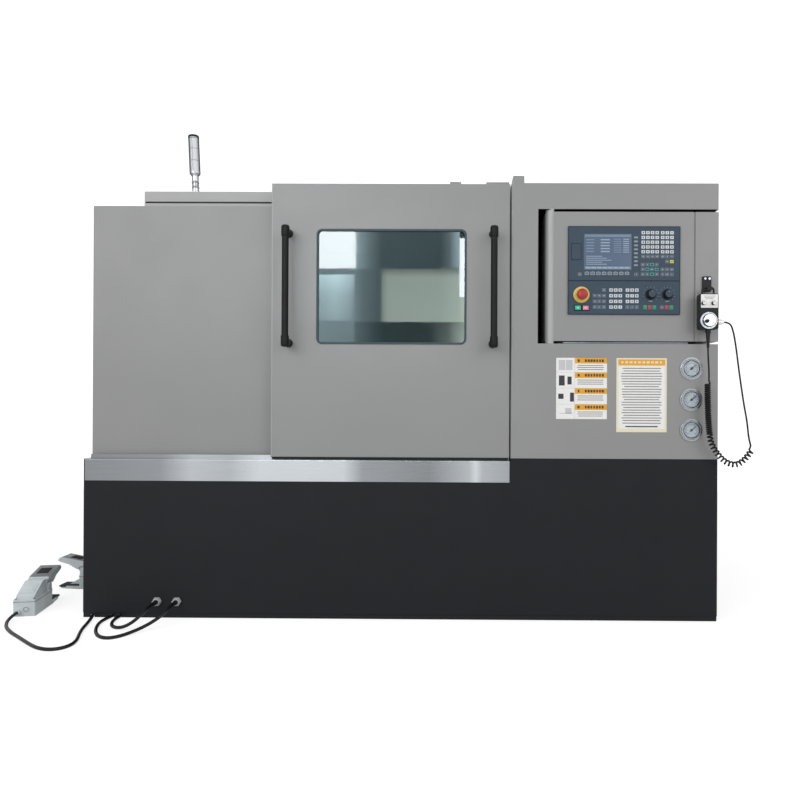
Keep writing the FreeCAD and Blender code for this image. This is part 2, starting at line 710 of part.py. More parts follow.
def left_cover():
    """Folded sheet housing round the headstock, open below; its right wall bounds the chamber."""
    outer = column(STRIP_X0, COVER_X1, COVER_Y, COVER_BACK_Y, LEDGE_Z, COVER_TOP_Z, BEND)
    inner = column(STRIP_X0 + SHEET, COVER_X1 - SHEET, COVER_Y + SHEET, COVER_BACK_Y - SHEET,
                   LEDGE_Z - 1, COVER_TOP_Z - SHEET, BEND - SHEET)
    wall_x = COVER_X1 - SHEET - 1
    bed_gap = prism(bed_outline(SLIDE_GAP), facing_side(wall_x), V(SHEET + 2, 0, 0))
    below = box(wall_x, COVER_X1 + 1, bed_outline(SLIDE_GAP)[0][0], BED_BACK_Y + SLIDE_GAP,
                LEDGE_Z - 2, LEDGE_Z + 1)
    nose = x_rod(wall_x, COVER_X1 + 1, SPINDLE_Y, SPINDLE_Z, NOSE_R + SLIDE_GAP)
    screw = rod(slant(wall_x, SCREW_S, SCREW_N), slant(COVER_X1 + 1, SCREW_S, SCREW_N), SCREW_R + 2)
    tools = [inner, bed_gap, below, nose, screw]
    for k in range(LOUVRES):
        z = COVER_TOP_Z - 180 - k * LOUVRE_PITCH
        tools.append(box(STRIP_X0 - 1, STRIP_X0 + SHEET + 1, -LOUVRE_LENGTH / 2, LOUVRE_LENGTH / 2,
                         z, z + LOUVRE_HEIGHT))
    save("left_cover", cut(outer, tools))


def rear_housing():
    """Back wall, roof and the inner sheet behind the carriage, welded as one."""
    x0, x1 = COVER_X1, CABINET_X0
    back = box(x0, x1, COVER_BACK_Y - SHEET, COVER_BACK_Y, LEDGE_Z, ROOF_Z)
    roof = box(x0, x1, RAIL_BOX_Y + RAIL_BOX_DEPTH, COVER_BACK_Y, ROOF_Z - SHEET, ROOF_Z)
    inner = box(x0, x1, INNER_SHEET_Y, INNER_SHEET_Y + SHEET, LEDGE_Z, ROOF_Z)
    skirt = box(x0, x0 + SHEET, RAIL_BOX_Y + RAIL_BOX_DEPTH, COVER_BACK_Y, COVER_TOP_Z, ROOF_Z)
    tools = []
    for k in range(LOUVRES):
        z = ROOF_Z - 200 - k * LOUVRE_PITCH
        mid = (x0 + x1) / 2
        tools.append(box(mid - LOUVRE_LENGTH / 2, mid + LOUVRE_LENGTH / 2, COVER_BACK_Y - SHEET - 1,
                         COVER_BACK_Y + 1, z, z + LOUVRE_HEIGHT))
    save("rear_housing", cut(join([back, roof, inner, skirt]), tools))


def door_rail_box():
    body = prism(rect(RAIL_BOX_Y, RAIL_BOX_Y + RAIL_BOX_DEPTH, COVER_TOP_Z, RAIL_BOX_TOP_Z),
                 facing_side(RAIL_BOX_X0), V(CABINET_X0 - RAIL_BOX_X0, 0, 0), [0, 0, 4, 4])
    slot = box(RAIL_BOX_X0 + 4, CABINET_X0 + 1, RAIL_BOX_Y - 1, RAIL_BOX_Y + TONGUE_REACH + 4,
               RAIL_SLOT_Z, RAIL_SLOT_Z + TONGUE + 2 * SLIDE_GAP)
    save("door_rail_box", cut(body, [slot]))


def right_cabinet():
    """Control cabinet: a sheet shell with the recess that the control box swings out of."""
    outer = column(CABINET_X0, BASE_X, FRONT_Y, COVER_BACK_Y, PLINTH_Z, CABINET_TOP_Z, BEND)
    inner = column(CABINET_X0 + SHEET, BASE_X - SHEET, FRONT_Y + SHEET, COVER_BACK_Y - SHEET,
                   PLINTH_Z - 1, CABINET_TOP_Z - SHEET, BEND - SHEET)
    recess_y1 = FRONT_Y + RECESS_DEPTH
    pan = box(RECESS_X0 - SHEET, BASE_X - SHEET, FRONT_Y + SHEET, recess_y1 + SHEET,
              RECESS_Z0 - SHEET, RECESS_Z1 + SHEET)
    space = box(RECESS_X0, BASE_X + 1, FRONT_Y - 1, recess_y1, RECESS_Z0, RECESS_Z1)
    post = prism([(POST_X0, CABINET_TOP_Z - 2), (POST_X1, CABINET_TOP_Z - 2),
                  (POST_X1, CABINET_TOP_Z + POST_HEIGHT),
                  (POST_X0 + POST_SLOPE, CABINET_TOP_Z + POST_HEIGHT)],
                 facing_front(FRONT_Y + 6), V(0, 45, 0), [0, 0, 3, 3])
    shell = join([outer.cut(inner), pan, post])
    x, y = BOX_X0 + SWIVEL_FROM_LEFT, FRONT_Y + BOX_DEPTH / 2
    tools = [space, z_rod(x, y, RECESS_Z0 - SHEET - 1, RECESS_Z1 + SHEET + 1, SWIVEL_PIN_R + RUN_FIT)]
    for z in GAUGE_Z:
        tools.append(y_rod(GAUGE_X, FRONT_Y - 1, FRONT_Y + SHEET + 1, z, GAUGE_BODY_R + SLIDE_GAP))
    for k in range(LOUVRES):
        z = CABINET_TOP_Z - 240 - k * LOUVRE_PITCH
        mid = (CABINET_X0 + BASE_X) / 2
        tools.append(box(mid - LOUVRE_LENGTH / 2, mid + LOUVRE_LENGTH / 2, COVER_BACK_Y - SHEET - 1,
                         COVER_BACK_Y + 1, z, z + LOUVRE_HEIGHT))
    save("right_cabinet", cut(shell, tools))


def hydraulic_unit():
    """Tank with its pump motor, valve manifold and filler, as one bolted unit."""
    (x0, x1), (y0, y1) = HYDRAULIC_X, HYDRAULIC_Y
    top = PLINTH_Z + TANK_HEIGHT
    tank = column(x0, x1, y0, y1, PLINTH_Z, top, TANK_CORNER)
    motor = z_rod(x0 + TANK_MARGIN + PUMP_MOTOR_R, (y0 + y1) / 2, top, top + PUMP_MOTOR_HEIGHT,
                  PUMP_MOTOR_R)
    right = x1 - TANK_MARGIN
    front = y0 + TANK_MARGIN
    manifold = box(right - MANIFOLD_LENGTH, right, front, front + MANIFOLD_WIDTH, top,
                   top + MANIFOLD_HEIGHT)
    filler = z_rod(right - FILLER_R, y1 - TANK_MARGIN, top, top + FILLER_HEIGHT, FILLER_R)
    save("hydraulic_unit", join([tank, motor, manifold, filler]))


def pressure_gauges():
    """Each gauge is one turned case; its needle is fused to the dial."""
    gauges = []
    dial_y = FRONT_Y - GAUGE_DIAL
    for z in GAUGE_Z:
        outline = [(0, 0), (0, GAUGE_FLANGE_R), (GAUGE_FLANGE_THICK, GAUGE_FLANGE_R),
                   (GAUGE_FLANGE_THICK, GAUGE_BEZEL_R), (GAUGE_FRONT - 3, GAUGE_BEZEL_R),
                   (GAUGE_FRONT, GAUGE_BEZEL_R - 3), (GAUGE_FRONT, GAUGE_BEZEL_R - 5),
                   (GAUGE_DIAL, GAUGE_BEZEL_R - 7), (GAUGE_DIAL, 0)]
        face = turned(outline, V(GAUGE_X, FRONT_Y, z), V(0, -1, 0), V(1, 0, 0))
        body = y_rod(GAUGE_X, FRONT_Y, FRONT_Y + GAUGE_BACK, z, GAUGE_BODY_R)
        port = y_rod(GAUGE_X, FRONT_Y + GAUGE_BACK, FRONT_Y + GAUGE_BACK + GAUGE_PORT, z, GAUGE_PORT_R)
        hub = y_rod(GAUGE_X, dial_y - 2.5, dial_y, z, 3.5)
        tip = GAUGE_X + NEEDLE_LENGTH
        needle = prism([(GAUGE_X - 7, z - 1.4), (tip, z - 0.5), (tip, z + 0.5), (GAUGE_X - 7, z + 1.4)],
                       facing_front(dial_y - 1.5), V(0, 1.5, 0))
        needle = turn(needle, V(GAUGE_X, 0, z), V(0, -1, 0), NEEDLE_TURN)
        gauges.append(join([face, body, port, hub, needle]))
    save("pressure_gauges", *gauges)


# ---------------------------------------------------------------- signal lamp
def signal_lamp():
    foot = V(LAMP_X, LAMP_Y, RAIL_BOX_TOP_Z)
    up = V(0, 0, 1)
    out = V(1, 0, 0)
    lean = V(0, -1, 0)
    collar_top = LAMP_COLLAR
    stem_r = 8.0
    post = turned([(0, 0), (0, 22), (9, 22), (9, LAMP_FOOT_R), (collar_top - 14, LAMP_FOOT_R),
                   (collar_top - 4, LAMP_R), (collar_top, LAMP_R), (collar_top, stem_r),
                   (LAMP_HEIGHT - 10, stem_r), (LAMP_HEIGHT - 10, 0)], foot, up, out)
    levels = 3
    step = (LAMP_HEIGHT - 8 - collar_top) / levels
    outline = []
    for k in range(levels):
        low = collar_top + k * step
        outline += [(low, LAMP_R - 1), (low + 2, LAMP_R), (low + step - 2, LAMP_R), (low + step, LAMP_R - 1)]
    clear = stem_r + RUN_FIT
    top = LAMP_HEIGHT
    outline = ([(collar_top, clear)] + outline
               + [(top - 5, LAMP_R - 2), (top, LAMP_R - 8), (top, 0), (top - 9, 0), (top - 9, clear)])
    lens = turned(outline, foot, up, out)
    post, lens = [turn(piece, foot, lean, LAMP_LEAN) for piece in (post, lens)]
    plinth = z_rod(LAMP_X, LAMP_Y, RAIL_BOX_TOP_Z, RAIL_BOX_TOP_Z + 5, 30)
    under = box(LAMP_X - 60, LAMP_X + 60, LAMP_Y - 60, LAMP_Y + 60, RAIL_BOX_TOP_Z - 20, RAIL_BOX_TOP_Z + 2)
    save("lamp_post", join([post.cut(under), plinth]))
    save("lamp_lens", lens)


# ---------------------------------------------------------------- door
def door_panel():
    body = plate(DOOR_X0, DOOR_X1, DOOR_FRONT_Y, DOOR_BACK_Y, DOOR_BOTTOM_Z, DOOR_TOP_Z)
    rims = [e for e in body.Edges if abs(e.BoundBox.YMin - DOOR_FRONT_Y) < 0.01
            and abs(e.BoundBox.YMax - DOOR_FRONT_Y) < 0.01]
    body = body.makeFillet(3.0, rims)
    window = plate(WINDOW_X0, WINDOW_X1, DOOR_FRONT_Y - 1, DOOR_BACK_Y + 1, WINDOW_Z0, WINDOW_Z1,
                   WINDOW_CORNER)
    y = (DOOR_FRONT_Y + DOOR_BACK_Y) / 2
    half = GUIDE_WIDTH / 2 + SLIDE_GAP
    groove = box(DOOR_X0 - 1, DOOR_X1 + 1, y - half, y + half, DOOR_BOTTOM_Z - 1,
                 LEDGE_Z + GUIDE_HEIGHT + SLIDE_GAP)
    tongue_z = RAIL_SLOT_Z + SLIDE_GAP
    hangers = []
    for x, width, rise in HANGERS:
        bracket_y = DOOR_BACK_Y + HANGER_THICK
        hangers.append(box(x, x + width, DOOR_BACK_Y, bracket_y, tongue_z, DOOR_TOP_Z + rise))
        hangers.append(box(x, x + width, bracket_y, RAIL_BOX_Y + TONGUE_REACH, tongue_z,
                           tongue_z + TONGUE))
    save("door_panel", join([cut(body, [window, groove])] + hangers))


def door_window():
    gap = 0.1
    x0, x1, z0, z1 = WINDOW_X0, WINDOW_X1, WINDOW_Z0, WINDOW_Z1
    lip = SEAL_WIDTH + SEAL_LIP
    glass_y = DOOR_FRONT_Y + 4
    outer = plate(x0 + gap, x1 - gap, DOOR_FRONT_Y - 2, glass_y + GLASS_THICK + 4, z0 + gap, z1 - gap,
                  WINDOW_CORNER - gap)
    sight = plate(x0 + lip, x1 - lip, DOOR_FRONT_Y - 5, glass_y + GLASS_THICK + 9, z0 + lip, z1 - lip,
                  WINDOW_CORNER - lip)
    seat = plate(x0 + SEAL_WIDTH, x1 - SEAL_WIDTH, glass_y, glass_y + GLASS_THICK, z0 + SEAL_WIDTH,
                 z1 - SEAL_WIDTH, WINDOW_CORNER - SEAL_WIDTH)
    save("window_seal", cut(outer, [sight, seat]))
    edge = SEAL_WIDTH + gap
    glass = plate(x0 + edge, x1 - edge, glass_y + gap, glass_y + GLASS_THICK - gap, z0 + edge, z1 - edge,
                  WINDOW_CORNER - edge)
    save("door_window", glass)


def door_handles():
    handles = []
    for x in HANDLE_X:
        y = DOOR_FRONT_Y - HANDLE_STAND
        tube = z_rod(x, y, HANDLE_Z0 + 4, HANDLE_Z1 - 4, HANDLE_R)
        feet = []
        for z in (HANDLE_Z0, HANDLE_Z1 - HANDLE_FOOT):
            half = HANDLE_R + 1.5
            outline = [(x - half, DOOR_FRONT_Y), (x + half, DOOR_FRONT_Y), (x + half, y - half),
                       (x - half, y - half)]
            feet.append(prism(outline, on_floor(z), V(0, 0, HANDLE_FOOT), [0, 0, half - 1, half - 1]))
        handles.append(join([tube] + feet))
    save("door_handles", *handles)


# ---------------------------------------------------------------- spindle and chuck
def spindle():
    x_end = PULLEY_X - 20
    outline = [(x_end, SPINDLE_BORE_R), (x_end, 45), (PULLEY_X + PULLEY_WIDTH, 45),
               (PULLEY_X + PULLEY_WIDTH, SPINDLE_R), (NOSE_X1 + SLIDE_GAP, SPINDLE_R),
               (NOSE_X1 + SLIDE_GAP, SPINDLE_FLANGE_R), (CHUCK_X0, SPINDLE_FLANGE_R),
               (CHUCK_X0, SPINDLE_BORE_R)]
    body = turned(outline, V(0, SPINDLE_Y, SPINDLE_Z), V(1, 0, 0), V(0, 1, 0))
    bore = x_rod(x_end - 1, CHUCK_X0 + 1, SPINDLE_Y, SPINDLE_Z, SPINDLE_BORE_R)
    wheel = [w.cut(bore) for w in pulley(PULLEY_X, SPINDLE_Y, SPINDLE_Z, SPINDLE_PULLEY_R)]
    save("spindle", join([body] + wheel))


def about_spindle(shape, degrees):
    return turn(shape, V(0, SPINDLE_Y, SPINDLE_Z), V(1, 0, 0), degrees)


def chuck():
    outline = [(CHUCK_X0, SPINDLE_BORE_R + 1), (CHUCK_X0, CHUCK_R - 3), (CHUCK_X0 + 3, CHUCK_R),
               (CHUCK_X1 - 8, CHUCK_R), (CHUCK_X1, CHUCK_R - 8), (CHUCK_X1, SPINDLE_BORE_R + 1)]
    body = turned(outline, V(0, SPINDLE_Y, SPINDLE_Z), V(1, 0, 0), V(0, 1, 0))
    half = JAW_WIDTH / 2
    y, z = SPINDLE_Y, SPINDLE_Z
    slot = box(CHUCK_X1 - JAW_SLOT, CHUCK_X1 + 1, y - half - RUN_FIT, y + half + RUN_FIT,
               z + SPINDLE_BORE_R, z + CHUCK_R + 1)
    save("chuck_body", cut(body, [about_spindle(slot, 120 * k) for k in range(3)]))
    base = box(CHUCK_X1 - JAW_SLOT + RUN_FIT, CHUCK_X1 + 2, y - half, y + half, z + JAW_INNER_R,
               z + JAW_OUTER_R)
    steps = [(CHUCK_X1 + 2, z + JAW_INNER_R), (CHUCK_X1 + 36, z + JAW_INNER_R),
             (CHUCK_X1 + 36, z + JAW_INNER_R + 20), (CHUCK_X1 + 24, z + JAW_INNER_R + 20),
             (CHUCK_X1 + 24, z + JAW_INNER_R + 42), (CHUCK_X1 + 12, z + JAW_INNER_R + 42),
             (CHUCK_X1 + 12, z + JAW_OUTER_R), (CHUCK_X1 + 2, z + JAW_OUTER_R)]
    soft = prism(steps, lambda a, b: V(a, y - half, b), V(0, JAW_WIDTH, 0))
    jaw = join([base, soft])
    for k in range(3):
        save("chuck_jaw_%d" % (k + 1), about_spindle(jaw, 120 * k))


# ---------------------------------------------------------------- slides and turret
def bearing_blocks(rails, width, height, x_spans, top_n):
    blocks = []
    for s in rails:
        for x0, x1 in x_spans:
            half = width / 2 + 16
            blocks.append(across(rect(s - half, s + half, 4, top_n), x0, x1, [4, 4, 0, 0]))
    return blocks


def rail_tools(rails, width, height, x0, x1):
    return [across(rail_outline(s, width, height, RUN_FIT), x0 - 1, x1 + 1) for s in rails]


def carriage():
    x0, x1 = CARRIAGE_X0, CARRIAGE_X1
    slab = across(rect(CARRIAGE_S0, CARRIAGE_S1, PLATE_UNDER_N, CARRIAGE_TOP_N), x0, x1, 8)
    blocks = bearing_blocks(CARRIAGE_RAIL_S, CARRIAGE_RAIL_W, CARRIAGE_RAIL_H,
                            ((x0 + 8, x0 + 88), (x1 - 88, x1 - 8)), PLATE_UNDER_N + 8)
    nut = across(rect(SCREW_S - 30, SCREW_S + 30, 3, PLATE_UNDER_N + 1), (x0 + x1) / 2 - 50,
                 (x0 + x1) / 2 + 50)
    ribs = []
    for x in CROSS_RAIL_X:
        ribs.append(across(rect(CARRIAGE_S0 + 20, CARRIAGE_S1 - 5, CARRIAGE_TOP_N - 2,
                                CARRIAGE_TOP_N + CROSS_RAIL_H), x - CROSS_RAIL_W / 2, x + CROSS_RAIL_W / 2))
    feed = across(rect(CARRIAGE_S1 - 10, CARRIAGE_S1 + 110, 50, 140), (x0 + x1) / 2 - 55,
                  (x0 + x1) / 2 + 55, 12)
    tools = rail_tools(CARRIAGE_RAIL_S, CARRIAGE_RAIL_W, CARRIAGE_RAIL_H, x0, x1)
    tools.append(rod(slant(x0 - 1, SCREW_S, SCREW_N), slant(x1 + 1, SCREW_S, SCREW_N),
                     SCREW_R + SLIDE_GAP))
    save("carriage", cut(join([slab, nut, feed] + blocks + ribs), tools))


def cross_slide():
    x0, x1 = CARRIAGE_X0 + 5, CARRIAGE_X1 - 5
    low = CARRIAGE_TOP_N + SLIDE_GAP
    slab = across(rect(CROSS_S0, CROSS_S1, low, CROSS_TOP_N), x0, x1, [0, 0, 10, 10])
    tools = []
    for x in CROSS_RAIL_X:
        half = CROSS_RAIL_W / 2 + RUN_FIT
        tools.append(across(rect(CROSS_S0 - 1, CROSS_S1 + 1, low - 1,
                                 CARRIAGE_TOP_N + CROSS_RAIL_H + RUN_FIT), x - half, x + half))
    save("cross_slide", cut(slab, tools))


def turret():
    x0 = DISC_X0 + DISC_THICK + SLIDE_GAP
    half_s = 110.0
    low = CROSS_TOP_N
    outline = rect(TURRET_S - half_s, TURRET_S + half_s, low, CENTRE_HEIGHT + 80)
    body = across(outline, CARRIAGE_X0 + 5, HOUSING_X1, [0, 0, 24, 24])
    centre = lambda x: slant(x, TURRET_S, CENTRE_HEIGHT)
    neck = rod(centre(x0), centre(CARRIAGE_X0 + 6), 78)
    bore = rod(centre(x0 - 1), centre(x0 + 71), TURRET_SHAFT_R + RUN_FIT)
    save("turret_housing", cut(join([body, neck]), [bore]))

    edge = DISC_FLAT_R / math.cos(math.pi / STATIONS)
    corners = []
    for k in range(STATIONS):
        angle = (k + 0.5) * 2 * math.pi / STATIONS
        corners.append((TURRET_S + edge * math.cos(angle), CENTRE_HEIGHT + edge * math.sin(angle)))
    disc = across(corners, DISC_X0, DISC_X0 + DISC_THICK)
    hub = rod(centre(DISC_X0 - 12), centre(DISC_X0 + 1), 55)
    shaft = rod(centre(DISC_X0 + DISC_THICK - 1), centre(x0 + 69), TURRET_SHAFT_R)
    save("turret_disc", join([disc, hub, shaft]))

    holders = []
    for k in range(STATIONS):
        s, n = TURRET_S, CENTRE_HEIGHT + DISC_FLAT_R
        half = TOOL_BLOCK_W / 2
        block = across(rect(s - half, s + half, n, n + TOOL_BLOCK_H), DISC_X0 + 5, DISC_X0 + 75,
                       [0, 0, 5, 5])
        middle = (n + n + TOOL_BLOCK_H) / 2
        if k % 2:
            tool = rod(slant(DISC_X0 - 30, s, middle), slant(DISC_X0 + 6, s, middle), TOOL_SHANK / 2)
        else:
            q = TOOL_SHANK / 2
            tool = across(rect(s - q, s + q, n + 6, n + 50), DISC_X0 + 18, DISC_X0 + 18 + TOOL_SHANK)
        holder = join([block, tool])
        holders.append(turn(holder, centre(0), V(1, 0, 0), k * 360 / STATIONS))
    save("tool_holders", *holders)


def z_ballscrew():
    def at(x):
        return slant(x, SCREW_S, SCREW_N)

    thread = rod(at(RAIL_X0 + 30 + SLIDE_GAP), at(BED_X1 - 20 - SLIDE_GAP), SCREW_R)
    shaft = rod(at(BED_X0 - 28), at(BED_X1 - 1), SCREW_JOURNAL_R)
    save("z_ballscrew", join([thread, shaft]))


def tailstock():
    x0, x1 = TAIL_X0, TAIL_X1
    low, high = TAIL_RAIL_S
    r = QUILL_BARREL_R
    outline = [(low - 25, TAIL_RAIL_H + 4), (high + 25, TAIL_RAIL_H + 4), (high + 25, 75),
               (r, CENTRE_HEIGHT - 45), (r, CENTRE_HEIGHT + r), (-r, CENTRE_HEIGHT + r),
               (-r - 10, CENTRE_HEIGHT - 60), (low - 25, 75)]
    body = across(outline, x0, x1, [0, 0, 12, 30, r - 6, r - 6, 40, 12])
    blocks = bearing_blocks(TAIL_RAIL_S, TAIL_RAIL_W, TAIL_RAIL_H,
                            ((x0 + 4, x0 + 64), (x1 - 64, x1 - 4)), TAIL_RAIL_H + 8)
    bore = x_rod(x0 - 1, x0 + QUILL_DEPTH, SPINDLE_Y, SPINDLE_Z, QUILL_R + RUN_FIT)
    tools = rail_tools(TAIL_RAIL_S, TAIL_RAIL_W, TAIL_RAIL_H, x0, x1) + [bore]
    save("tailstock_body", cut(join([body] + blocks), tools))
    tip = x0 - QUILL_OUT
    outline = [(tip - CENTRE_LENGTH, 0), (tip - 14, 16), (tip - 14, 22), (tip, 22), (tip, QUILL_R - 3),
               (tip + 3, QUILL_R), (x0 + QUILL_DEPTH - 1, QUILL_R), (x0 + QUILL_DEPTH - 1, 0)]
    save("tailstock_quill", turned(outline, V(0, SPINDLE_Y, SPINDLE_Z), V(1, 0, 0), V(0, 1, 0)))


# ---------------------------------------------------------------- control box and panels
def control_box():
    y0, y1 = FRONT_Y, FRONT_Y + BOX_DEPTH
    body = column(BOX_X0, BASE_X, y0, y1, BOX_Z0, BOX_Z1, [BOX_CORNER, 4, 4, 12])
    x, y = BOX_X0 + SWIVEL_FROM_LEFT, FRONT_Y + BOX_DEPTH / 2
    pins = []
    for z0, z1 in ((RECESS_Z0 - SHEET, BOX_Z0 + 1), (BOX_Z1 - 1, RECESS_Z1 + SHEET)):
        pins.append(z_rod(x, y, z0, z1, SWIVEL_PIN_R))
    for z0, z1 in ((RECESS_Z0 + SLIDE_GAP, BOX_Z0 + 1), (BOX_Z1 - 1, RECESS_Z1 - SLIDE_GAP)):
        pins.append(z_rod(x, y, z0, z1, SWIVEL_PIN_R + 12))
    tools = [box(SEAM_X, SEAM_X + SEAM_WIDTH, y0 - 1, y0 + 4, BOX_Z0 - 1, BOX_Z1 + 1)]
    tools.append(y_rod(ESTOP_X, y0 - 1, y0 + 20, ESTOP_Z, ESTOP_STEM_R + RUN_FIT))
    for name, knob_x in KNOBS:
        tools.append(y_rod(knob_x, y0 - 1, y0 + 12, KNOB_Z, 4 + RUN_FIT))
    save("control_box", cut(join([body] + pins), tools))


def key_pads(groups, top):
    """Raised key pads of a panel whose upper edge lies at a height."""
    pads = []
    for across_x, down, columns, rows, pitch_x, pitch_z, width, height in groups:
        for i in range(columns):
            for j in range(rows):
                x = PANEL_X0 + across_x + i * pitch_x
                z = top - down - j * pitch_z
                pads.append(box(x - width / 2, x + width / 2, PANEL_FACE_Y - KEY_RISE, PANEL_FACE_Y + 1,
                                z - height / 2, z + height / 2))
    return pads


def display_unit():
    top = PANEL_TOP_Z
    body = plate(PANEL_X0, PANEL_X1, PANEL_FACE_Y, FRONT_Y, PANEL_SPLIT_Z, top, [0, 0, 5, 5])
    screen_x1 = SCREEN_X + SCREEN_WIDTH
    screen_top = top - SCREEN_TOP_DROP
    screen_low = screen_top - SCREEN_HEIGHT
    pocket = box(SCREEN_X, screen_x1, PANEL_FACE_Y - 1, PANEL_FACE_Y + 2.5, screen_low, screen_top)
    save("display_unit", cut(join([body] + key_pads(DISPLAY_KEYS, top)), [pocket]))
    edge = 0.1
    save("screen", box(SCREEN_X + edge, screen_x1 - edge, PANEL_FACE_Y + 1, PANEL_FACE_Y + 2.5,
                       screen_low + edge, screen_top - edge))


def machine_panel():
    body = plate(PANEL_X0, PANEL_X1, PANEL_FACE_Y, FRONT_Y, PANEL_BOTTOM_Z, PANEL_SPLIT_Z, [5, 5, 0, 0])
    tools = [y_rod(ESTOP_X, PANEL_FACE_Y - 1, FRONT_Y + 1, ESTOP_Z, ESTOP_STEM_R + RUN_FIT)]
    for name, x in KNOBS:
        tools.append(y_rod(x, PANEL_FACE_Y - 1, FRONT_Y + 1, KNOB_Z, 4 + RUN_FIT))
    for name, x in BUTTONS:
        tools.append(box(x - BUTTON_W / 2 - RUN_FIT, x + BUTTON_W / 2 + RUN_FIT, PANEL_FACE_Y - 1,
                         FRONT_Y, BUTTON_Z - BUTTON_H / 2 - RUN_FIT, BUTTON_Z + BUTTON_H / 2 + RUN_FIT))
    save("machine_panel", cut(join([body] + key_pads(MACHINE_KEYS, PANEL_SPLIT_Z)), tools))


def panel_controls():
    ring = turned([(0, ESTOP_STEM_R + RUN_FIT), (0, ESTOP_RING_R), (2, ESTOP_RING_R),
                   (4, ESTOP_RING_R - 4), (4, ESTOP_STEM_R + RUN_FIT)],
                  V(ESTOP_X, PANEL_FACE_Y, ESTOP_Z), V(0, -1, 0), V(1, 0, 0))
    save("estop_collar", ring)
    r = ESTOP_HEAD_R
    head = turned([(-20, 0), (-20, ESTOP_STEM_R), (12, ESTOP_STEM_R), (12, r - 5), (15, r), (22, r),
                   (27, r - 5), (29, r - 12), (29, 0)],
                  V(ESTOP_X, PANEL_FACE_Y, ESTOP_Z), V(0, -1, 0), V(1, 0, 0))
    save("estop_head", head)
    for name, x in BUTTONS:
        save(name, plate(x - BUTTON_W / 2, x + BUTTON_W / 2, PANEL_FACE_Y - BUTTON_RISE,
                         FRONT_Y - BUTTON_TRAVEL - SLIDE_GAP, BUTTON_Z - BUTTON_H / 2,
                         BUTTON_Z + BUTTON_H / 2))
    for name, x in KNOBS:
        r = KNOB_R
        knob = turned([(-14, 0), (-14, 4), (SLIDE_GAP, 4), (SLIDE_GAP, r), (4, r), (5, r - 2.5),
                       (KNOB_HEIGHT - 2, r - 5), (KNOB_HEIGHT, r - 7), (KNOB_HEIGHT, 0)],
                      V(x, PANEL_FACE_Y, KNOB_Z), V(0, -1, 0), V(1, 0, 0))
        grip = plate(x - 3, x + 3, PANEL_FACE_Y - KNOB_HEIGHT - 3, PANEL_FACE_Y - 6, KNOB_Z - r + 4.5,
                     KNOB_Z + r - 4.5, 1.5)
        flutes = []
        for k in range(12):
            angle = k * math.pi / 6
            flutes.append(y_rod(x + r * math.cos(angle), PANEL_FACE_Y - KNOB_HEIGHT - 1,
                                PANEL_FACE_Y - 4.5, KNOB_Z + r * math.sin(angle), 3))
        save(name, join([knob.cut(Part.makeCompound(flutes)), grip]))


